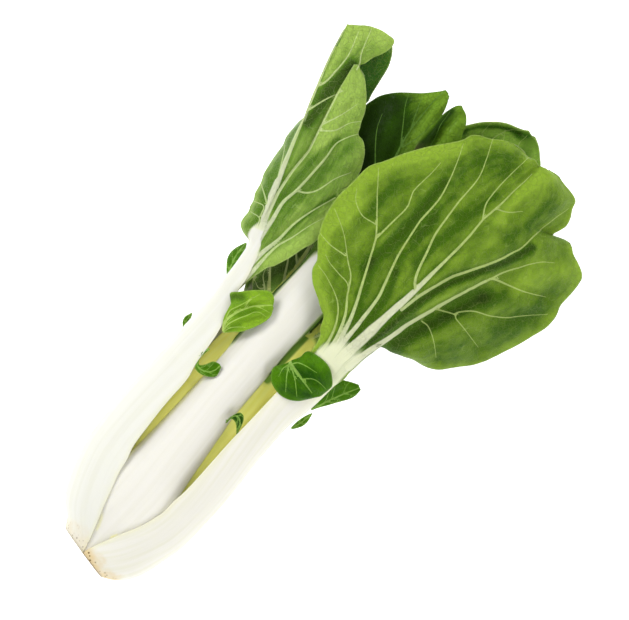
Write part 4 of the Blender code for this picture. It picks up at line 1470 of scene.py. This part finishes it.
def left_outer_leaf():
    """The folded leaf: one sheet for its stalk and blade, and one for the lobe that lies over it."""
    stalk = stalk_sheet(
        start=CUT_X,
        end=LEFT_STALK_END,
        place=(62, 67, 74),
        face=(59, 67, 56),
        depth=0,
        width=OUTER_WIDTH,
        thickness=OUTER_THICKNESS,
        wrap=54,
        columns=101,
        rise=9,
        plan=(LEFT_LEAF_RIGHT_EDGE, LEFT_LEAF_LEFT_EDGE),
    )
    midrib = [
        (180, 44, 45.5), (190, 47.5, 46), (200, 51, 47), (210, 55, 48), (220, 58.8, 48.5),
        (230, 62.2, 48.5), (240, 65.8, 48), (250, 69.2, 47.5), (260, 72.8, 46.5), (270, 76.2, 45.5),
        (280, 79, 44), (286, 80.3, 43), (289.5, 80.3, 42.6),
    ]
    left = [
        (174.5, 44.5, 38), (175.5, 48, 37), (178, 52.5, 36), (185, 54.3, 35), (190, 56, 34.5),
        (200, 59.5, 33.5), (210, 61.5, 33), (220, 64, 32), (230, 65.8, 31), (239, 66.3, 29),
        (250, 62, 25), (258, 54, 24), (265.5, 46.4, 24), (272, 47.3, 24.5), (278, 48.5, 25.5),
        (285, 49.8, 27), (290, 51.5, 29), (295, 54.5, 32), (298.5, 59, 35.5), (298.4, 65, 38.2),
        (296.6, 70.5, 40),
    ]
    right = [
        (180, 38, 44), (190, 36, 43.5), (205, 36, 43), (220, 38, 43), (235, 43, 43), (250, 51, 43),
        (262, 57, 43), (270, 61, 43), (278, 62.5, 42.5), (280, 61, 42.3), (286, 60, 42), (290, 58, 41.5),
        (295, 56.5, 41), (299, 57.5, 40.5), (299.2, 61, 40.5), (298.6, 66, 40.9), (296.8, 71, 41.4),
    ]
    grid, thick, lines = blade_sheet(stalk[0][-1], midrib, right, left, rows=150, arch=1.4, rib=4)
    blade = grid, thick * np.linspace(1, THIN_TIP, len(thick))[:, None], lines
    lobe_rib = [
        (160, 35, 43.5), (170, 37, 44), (180, 41, 44.8), (190, 46, 46.6), (200, 49, 47.6),
        (206, 50.2, 48.3), (215, 51.5, 48.8), (228, 52.3, 49), (240, 56, 49), (250, 58.8, 48.5),
        (260, 61.5, 48), (270, 63.5, 47), (276.5, 64.6, 46.3),
    ]
    lobe_middle = [
        (160, 32.8, 43.8), (170, 32.8, 44.5), (180, 33, 45), (190, 33.5, 45.8), (205, 34, 46),
        (220, 36, 46), (235, 40, 46), (250, 47, 46), (262, 52.5, 46), (270, 57.5, 46), (277.8, 63, 46),
    ]
    lobe_margin = [
        (160, 30.5, 43), (170, 28.5, 43.5), (174, 26, 44), (182, 23, 44.5), (190, 21, 45), (196, 19, 45),
        (210, 19, 44.5), (225, 21.5, 44), (235, 25, 43.5), (240, 27, 43.3), (246, 30.5, 43),
        (250, 35, 43), (251.5, 39, 43), (255, 41, 43), (260, 43.5, 43), (265, 47, 43), (270, 51.5, 43.5),
        (274, 56, 44), (276.4, 60.5, 45),
    ]
    start = np.linspace((150, 31.5, 43), (150, 34, 43.5), 61)
    lobe, lobe_thick, _ = blade_sheet(start, lobe_middle, lobe_margin, lobe_rib, rows=170, arch=1.5, rib=1.2)
    lobe = pleat(lobe, [(188, 41), (200, 43.5), (215, 42.5), (230, 43), (245, 42)], depth=1.2, width=4)
    lobe = pleat(lobe, [(180, 33), (195, 32.5), (210, 29.5), (222, 26)], depth=1.0, width=3.5)
    veins = [
        ([(165, 40), (180, 44), (190, 47.5)], 3.6, 2.4),
        ([(190, 47.5), (210, 55), (230, 62.2), (240, 65.8)], 2.4, 0.6),
        ([(240, 65.8), (250, 69.2), (270, 76.2), (286, 80.4)], 0.7, 0.5),
        ([(170, 40), (180, 42.5), (190, 46), (200, 49), (206, 50.2), (215, 51.5), (228, 52.2)], 1.8, 0.6),
        ([(228, 52.2), (240, 55.5), (250, 58.2), (262, 61.2)], 0.6, 0.3),
        ([(165, 38), (180, 41), (190, 42.5), (200, 44.5), (209, 43.5), (220, 43.2),
          (230, 43.5)], 1.8, 0.6),
        ([(230, 43.5), (240, 44.4), (247, 42), (252, 39)], 0.5, 0.15),
        ([(209, 43), (212, 38.5), (217, 35.3), (226.7, 32.8), (234, 29.2)], 0.5, 0.15),
        ([(158, 35), (168, 35.5), (175, 35), (185, 33.5), (195, 33), (205, 31), (219, 26.5)], 1.8, 0.3),
        ([(155, 33), (165, 32.5), (180, 32), (190, 29), (200, 26.5), (210, 23)], 1.5, 0.15),
        ([(240, 54.5), (245, 49.3), (252.4, 46.4), (257, 42.8)], 0.4, 0.12),
        ([(243, 56), (253.4, 52.1), (262, 50)], 0.4, 0.12),
        ([(243, 66.5), (252.8, 63.7), (262, 60)], 0.5, 0.2),
        ([(256, 71), (260, 69.5), (267, 69.3), (278, 70), (290, 74)], 0.55, 0.15),
        ([(276, 62), (279.2, 63), (283.8, 66), (295, 70)], 0.4, 0.15),
        ([(194, 50), (200, 59.5)], 0.5, 0.15),
        ([(188, 48.5), (192, 50.5), (190.5, 56)], 0.4, 0.12),
        ([(182, 46), (186, 48), (185.5, 53)], 0.4, 0.12),
        ([(208, 55), (214, 58), (222, 63)], 0.4, 0.12),
    ]
    # painted shadow where the lobe lies over the blade and along the fold, and painted light near the tip
    blade_shades = [
        ([(238, 62), (250, 63.3), (262, 65.6), (276, 65.8)], 2.6, 1.5),
        ([(248, 67), (262, 68.6)], 1.6, 0.5),
        ([(180, 47.5), (200, 55), (215, 60.3), (232, 65)], 2.6, 0.45),
        ([(280, 77), (292, 71), (295, 63)], 5.0, -0.6),
        ([(262, 70.5), (275, 74)], 3.0, -0.45),
    ]
    # painted shade along the lobe's folds and under its veins, and painted light on it
    lobe_shades = [
        ([(178, 37), (200, 40), (225, 39.5), (246, 38)], 2.2, 0.35),
        ([(188, 34.5), (204, 35.5)], 2.5, -0.4),
        ([(196, 46.5), (215, 47.5), (232, 47), (242, 45)], 2.2, 0.6),
        ([(176, 33.9), (195, 31.8), (210, 30), (220, 27)], 0.8, 0.8),
        ([(172, 28.5), (185, 25), (198, 22), (210, 23)], 3.5, -0.6),
        ([(236, 50), (252, 52), (270, 59)], 5.0, -0.6),
    ]
    whole = join_sheets(stalk, blade, fan=16.0, wing=170.0, soft=1.2)
    leaf(
        "left_outer_leaf",
        [whole, (lobe, lobe_thick, np.zeros(lobe_thick.shape))],
        veins,
        PALE_GREEN,
        "blade_green",
        ["left_outer_stalk", "left_outer_blade"],
        height=0.55,
        swelling=1.1,
        crinkle=1.4,
        ruffle=1.5,
        shades=[blade_shades, lobe_shades],
        seed=5,
    )


left_outer_leaf()

# ---------------------------------------------------------------------------------------------------
# The leaflets: small leaves that sprout here and there on the edges of the stalks. The large one is
# pale and faces out; the others are dark and shiny, and some are curled.

LEAFLET_COLUMNS = 31
LEAFLET_ROWS = 42
LEAFLET_THINNESS = 0.8  # a leaflet is thinner than a full leaf's blade
LEAFLET_LIGHT = leaf_material(
    "leaflet_light",
    light=(0.235, 0.420, 0.020),
    dark=(0.120, 0.270, 0.008),
    inner_light=(0.10, 0.27, 0.010),
    inner_dark=(0.05, 0.17, 0.005),
    vein_colour=(0.42, 0.60, 0.12),
    stalk_colour=(0.7, 0.78, 0.4),
    stalk_shade=(0.6, 0.7, 0.3),
    stain=0.0,
)
LEAFLET_DEEP = leaf_material(
    "leaflet_deep",
    light=(0.075, 0.220, 0.002),
    dark=(0.018, 0.085, 0.001),
    inner_light=(0.09, 0.24, 0.010),
    inner_dark=(0.04, 0.14, 0.005),
    vein_colour=(0.26, 0.46, 0.08),
    stalk_colour=(0.5, 0.65, 0.25),
    stalk_shade=(0.4, 0.55, 0.2),
    rough=0.3,
    net=0.03,
    stain=0.0,
)


def leaflet(
    name,
    midrib,
    right,
    left,
    material=LEAFLET_DEEP,
    slot="leaflet_deep",
    arch=1.0,
    veins=4,
    seed=51,
    ruffle=0.6,
    folds=(),
    strokes=(),
    drawn=(),
):
    """A small leaf whose three lines run from its foot to its tip. Its veins are drawn, or come by rule, and
    strokes paint shade and light on it.
    """
    start = np.concatenate([
        np.linspace(right[0], midrib[0], LEAFLET_COLUMNS // 2 + 1)[:-1],
        np.linspace(midrib[0], left[0], LEAFLET_COLUMNS // 2 + 1),
    ])
    right, midrib, left = right[1:], midrib[1:], left[1:]
    grid, thick, lines = blade_sheet(start, midrib, right, left, LEAFLET_ROWS, arch, rib=1.4, carry=3)
    for line, depth, width in folds:
        grid = pleat(grid, line, depth, width)
    leaf(
        name,
        [(grid, thick * LEAFLET_THINNESS, np.zeros(thick.shape))],
        drawn or side_veins(lines, veins, seed, reach=0.18),
        material,
        slot,
        [name],
        swelling=0.3,
        crinkle=0.5,
        ruffle=ruffle,
        shades=[strokes],
        seed=seed,
    )


def simple_leaflet(name, midrib, half_width, arch, lean, seed, dark=0.0):
    """A leaflet whose margins follow part of a half sine round its midrib. lean turns it about its midrib,
    and dark is the strength of the painted shade along it.
    """
    spine = smooth_line(midrib, 9)
    heading = spine[-1] - spine[0]
    flat = np.array([-heading[1], heading[0], 0]) / math.hypot(heading[0], heading[1])
    aside = flat * math.cos(math.radians(lean)) + np.array([0, 0, math.sin(math.radians(lean))])
    swell = np.sin(np.linspace(0.06, 0.97, 9) * math.pi)[:, None] * half_width
    right, left = spine - aside * swell, spine + aside * swell
    strokes = [(spine[:, :2], half_width, dark)]
    leaflet(name, spine, right, left, arch=arch, veins=3, seed=seed, strokes=strokes)


leaflet(
    "leaflet_left_large",
    midrib=[
        (130.5, 22.8, 48), (135.7, 25.5, 49.5), (140.3, 25.3, 50.3), (148.3, 21.3, 50.8),
        (157, 12.5, 49.5),
    ],
    right=[
        (130.7, 22, 48), (134.3, 18.7, 50), (137, 16, 50.5), (144.3, 12, 50.7), (151.7, 10.1, 50),
        (157, 12, 49.5),
    ],
    left=[
        (130.3, 23.3, 48), (135.7, 27.3, 49), (141.7, 29, 49), (145, 30, 48.8), (147.7, 33.5, 48),
        (151.7, 30, 48.6), (157, 25.3, 49), (161.7, 19.3, 49), (160.5, 15, 49), (157.3, 12.7, 49.5),
    ],
    material=LEAFLET_LIGHT,
    slot="leaflet_light",
    arch=1.2,
    veins=5,
    seed=52,
    folds=[
        ([(132, 26), (140, 26.5), (150, 22), (159, 16)], 1.2, 1.8),
        ([(132, 23.5), (140, 20), (148, 15), (153, 11)], 1.2, 1.6),
    ],
    # painted shade and light on the large leaflet
    strokes=[
        ([(142.4, 23), (146, 20.8), (149.4, 18.5)], 1.5, 0.5),
        ([(146, 31.5), (148, 30.5), (150, 27.5)], 2.6, 1.0),
        ([(132, 22.7), (135.3, 20.6), (138.6, 18.8)], 1.2, 0.6),
        ([(140.4, 16), (144, 13.2), (147.5, 12)], 2.2, -0.5),
        ([(153.4, 24), (155.5, 20), (157.5, 16.5)], 2.4, -0.6),
    ],
    drawn=[
        ([(130.4, 22.8), (133, 24.8), (135.8, 25.7), (141.4, 24.8), (146.3, 22.8), (150, 20.6),
          (153.8, 17.2), (157, 13.8)], 0.85, 0.3),
        ([(131.5, 23.5), (136, 23.4), (140.9, 21.6), (145.3, 19.2), (148.6, 17.8), (150.5, 15.3),
          (150.8, 12.3)], 0.4, 0.12),
        ([(137, 26.5), (141.2, 27.5), (145.4, 25.9), (149.6, 24.4), (154, 23.5)], 0.35, 0.12),
        ([(149.5, 20.9), (151.2, 19.2), (152.7, 16), (153.5, 12.5)], 0.3, 0.1),
        ([(131.5, 22.5), (134.5, 21.6), (137.7, 18.7), (140.1, 15.5)], 0.3, 0.1),
        ([(146.3, 22.8), (151, 23.5), (157, 22)], 0.3, 0.1),
    ],
)
leaflet(
    "leaflet_right_round",
    midrib=[
        (142, -12.3, 51), (140.3, -18, 53), (139, -23.3, 53.8), (137.7, -29.3, 52.6),
        (139.5, -35.8, 48.6),
    ],
    right=[(141, -12, 51), (137.7, -10, 50.8), (133.7, -8.3, 50.5), (128.5, -12, 50.5), (126.3, -18.7, 50.6),
           (127, -24, 50.6), (129.7, -28.7, 50), (133.7, -32, 49), (139, -35.6, 48.6)],
    left=[(143.5, -12.8, 51), (147.7, -15, 50.8), (152.3, -16, 50.5), (154, -23.3, 50.8), (153, -30, 50),
          (148.3, -36, 48), (145, -36.8, 48), (140, -36, 48.6)],
    arch=1.5,
    seed=53,
    folds=[([(141.5, -12), (140.8, -20), (141, -28), (142.5, -36)], -1.3, 1.3)],
    # painted shade and painted light on the round leaflet
    strokes=[
        ([(141.8, -22), (144.7, -26.7), (145.7, -33)], 2.5, 0.4),
        ([(129.8, -19.4), (132.3, -26), (135.7, -31)], 2.5, 0.5),
        ([(148.5, -17), (151, -21.7), (151.5, -26)], 2.5, -0.6),
        ([(133.7, -10.5), (131.5, -14)], 2.5, -0.5),
    ],
    drawn=[
        ([(141.9, -12.8), (141.2, -14), (140.3, -19), (139.4, -23.8), (137.9, -31)], 0.95, 0.2),
        ([(140.8, -14), (140.2, -15.5), (136.9, -20.7), (131.6, -26.7)], 0.4, 0.15),
        ([(140.8, -13.4), (139.6, -13.8), (135.3, -16.4), (129.5, -21)], 0.4, 0.15),
        ([(142.6, -14.6), (144.5, -16), (145.9, -20), (147, -26)], 0.35, 0.12),
        ([(139.6, -23), (143.3, -27), (144.2, -31), (144, -35)], 0.3, 0.12),
        ([(140.2, -12.9), (137, -12.2), (133, -13.2)], 0.3, 0.12),
    ],
)
leaflet(
    "leaflet_right_back",
    midrib=[(131, -37.2, 27), (140, -40.5, 26), (148, -44, 25), (156, -48, 24.5)],
    right=[
        (131, -37.6, 27), (134.3, -39.3, 26), (141.7, -44, 24.4), (149.7, -48.7, 23.5),
        (155.5, -49.2, 24.3),
    ],
    left=[(131, -36.8, 27), (140, -36, 29), (151, -37.3, 28), (154.3, -41, 26), (156.8, -46.5, 25)],
    arch=0.8,
    seed=54,
)
leaflet(
    "leaflet_left_curl",
    midrib=[
        (119.5, 22.5, 49.2), (113, 23.3, 50), (109, 21, 50.5), (109.5, 16, 51), (113, 13, 51),
        (117, 12.5, 50.6),
    ],
    right=[
        (119.5, 23, 49.2), (112.5, 24, 50), (107.5, 21.5, 50.4), (107.2, 16, 50), (111, 10.5, 50),
        (116.5, 11.5, 50.4),
    ],
    left=[
        (119.5, 22, 49.2), (113, 22.6, 50), (110, 20.8, 50.2), (112, 18.6, 50), (116, 16.5, 50),
        (117.3, 13.3, 50.4),
    ],
    arch=1.2,
    seed=55,
    ruffle=0.3,
)
simple_leaflet(
    "leaflet_slot_curl",
    [(97.5, -9, 52.4), (101, -9.2, 53), (103.6, -11.5, 53.2), (101.6, -14.8, 52.6), (96.5, -17.4, 51)],
    half_width=2.7,
    arch=0.8,
    lean=0,
    seed=56,
    dark=0.9,
)
simple_leaflet("leaflet_left_back", [(153.5, 40.8, 30), (163, 44, 29), (172, 44.8, 29)], 4.4, 0.8, -40, 57)
simple_leaflet("leaflet_left_low", [(118, 39.3, 19.8), (122.5, 41, 19.8), (127, 41.2, 20)], 1.8, 0.3, 30, 58)
simple_leaflet("leaflet_right_low", [(117, -35.9, 22.4), (123, -37.8, 22), (130, -38.7, 22)], 2, 0.3, -30, 59)

# ---------------------------------------------------------------------------------------------------
# The studio: a plain pale floor that glows a little, the strongest of four soft lights at the head's
# left side, and weaker ones at its foot, its tip and its right side. The camera looks straight down.

FLOOR_SIZE = 6.0
FLOOR_GREY = 0.9
FLOOR_GLOW = 0.75
WORLD_GLOW = 0.40
LIGHT_TARGET_HEIGHT = 0.03
FRAME_WIDTH = 0.3208
FRAME_CENTRE = (0.01806, 0.00507)
CAMERA_HEIGHT = 6.0
HEAD_TOP = 0.04  # the frame is this wide at the height of the upper leaves
HEAD_WAY = (0.67, 0.7424)  # how the head runs across the frame and up it

floor_data = bpy.data.meshes.new("studio_floor")
half = FLOOR_SIZE / 2
corners = [(-half, -half, 0), (half, -half, 0), (half, half, 0), (-half, half, 0)]
floor_data.from_pydata(corners, [], [(0, 1, 2, 3)])
floor = add_object("studio_floor", floor_data)
floor_white, _, floor_shader = new_material("studio_white", 0.9)
floor_shader.inputs["Base Color"].default_value = (FLOOR_GREY, FLOOR_GREY, FLOOR_GREY, 1)
floor_shader.inputs["Emission Color"].default_value = (1, 1, 1, 1)
floor_shader.inputs["Emission Strength"].default_value = FLOOR_GLOW
floor_data.materials.append(floor_white)


def soft_light(name, place, size, power):
    """A square soft light that faces the head."""
    data = bpy.data.lights.new(name, "AREA")
    data.shape = "SQUARE"
    data.size = size
    data.energy = power
    light = add_object(name, data)
    light.location = place
    reach = np.array([*FRAME_CENTRE, LIGHT_TARGET_HEIGHT]) - place
    yaw = math.atan2(reach[1], reach[0])
    light.rotation_euler = (0, math.acos(-reach[2] / np.linalg.norm(reach)), yaw + math.pi)


soft_light("key_light", (0.1, 1.3, 1.35), 0.8, 17.0)
soft_light("foot_light", (-1.3, 0.0, 1.3), 1.0, 8.5)
soft_light("tip_light", (1.4, 0.1, 1.3), 1.0, 9.0)
soft_light("side_light", (0.0, -1.4, 1.4), 1.0, 12.0)

world = bpy.data.worlds.new("studio")
world.use_nodes = True
world.node_tree.nodes["Background"].inputs["Color"].default_value = (1, 1, 1, 1)
world.node_tree.nodes["Background"].inputs["Strength"].default_value = WORLD_GLOW
bpy.context.scene.world = world
bpy.context.scene.view_settings.view_transform = "Standard"

camera_data = bpy.data.cameras.new("camera")
camera_data.angle = 2 * math.atan(FRAME_WIDTH / 2 / (CAMERA_HEIGHT - HEAD_TOP))
camera = add_object("camera", camera_data)
camera.location = (*FRAME_CENTRE, CAMERA_HEIGHT)
camera.rotation_euler = (0, 0, -math.atan2(HEAD_WAY[1], HEAD_WAY[0]))
bpy.context.scene.camera = camera
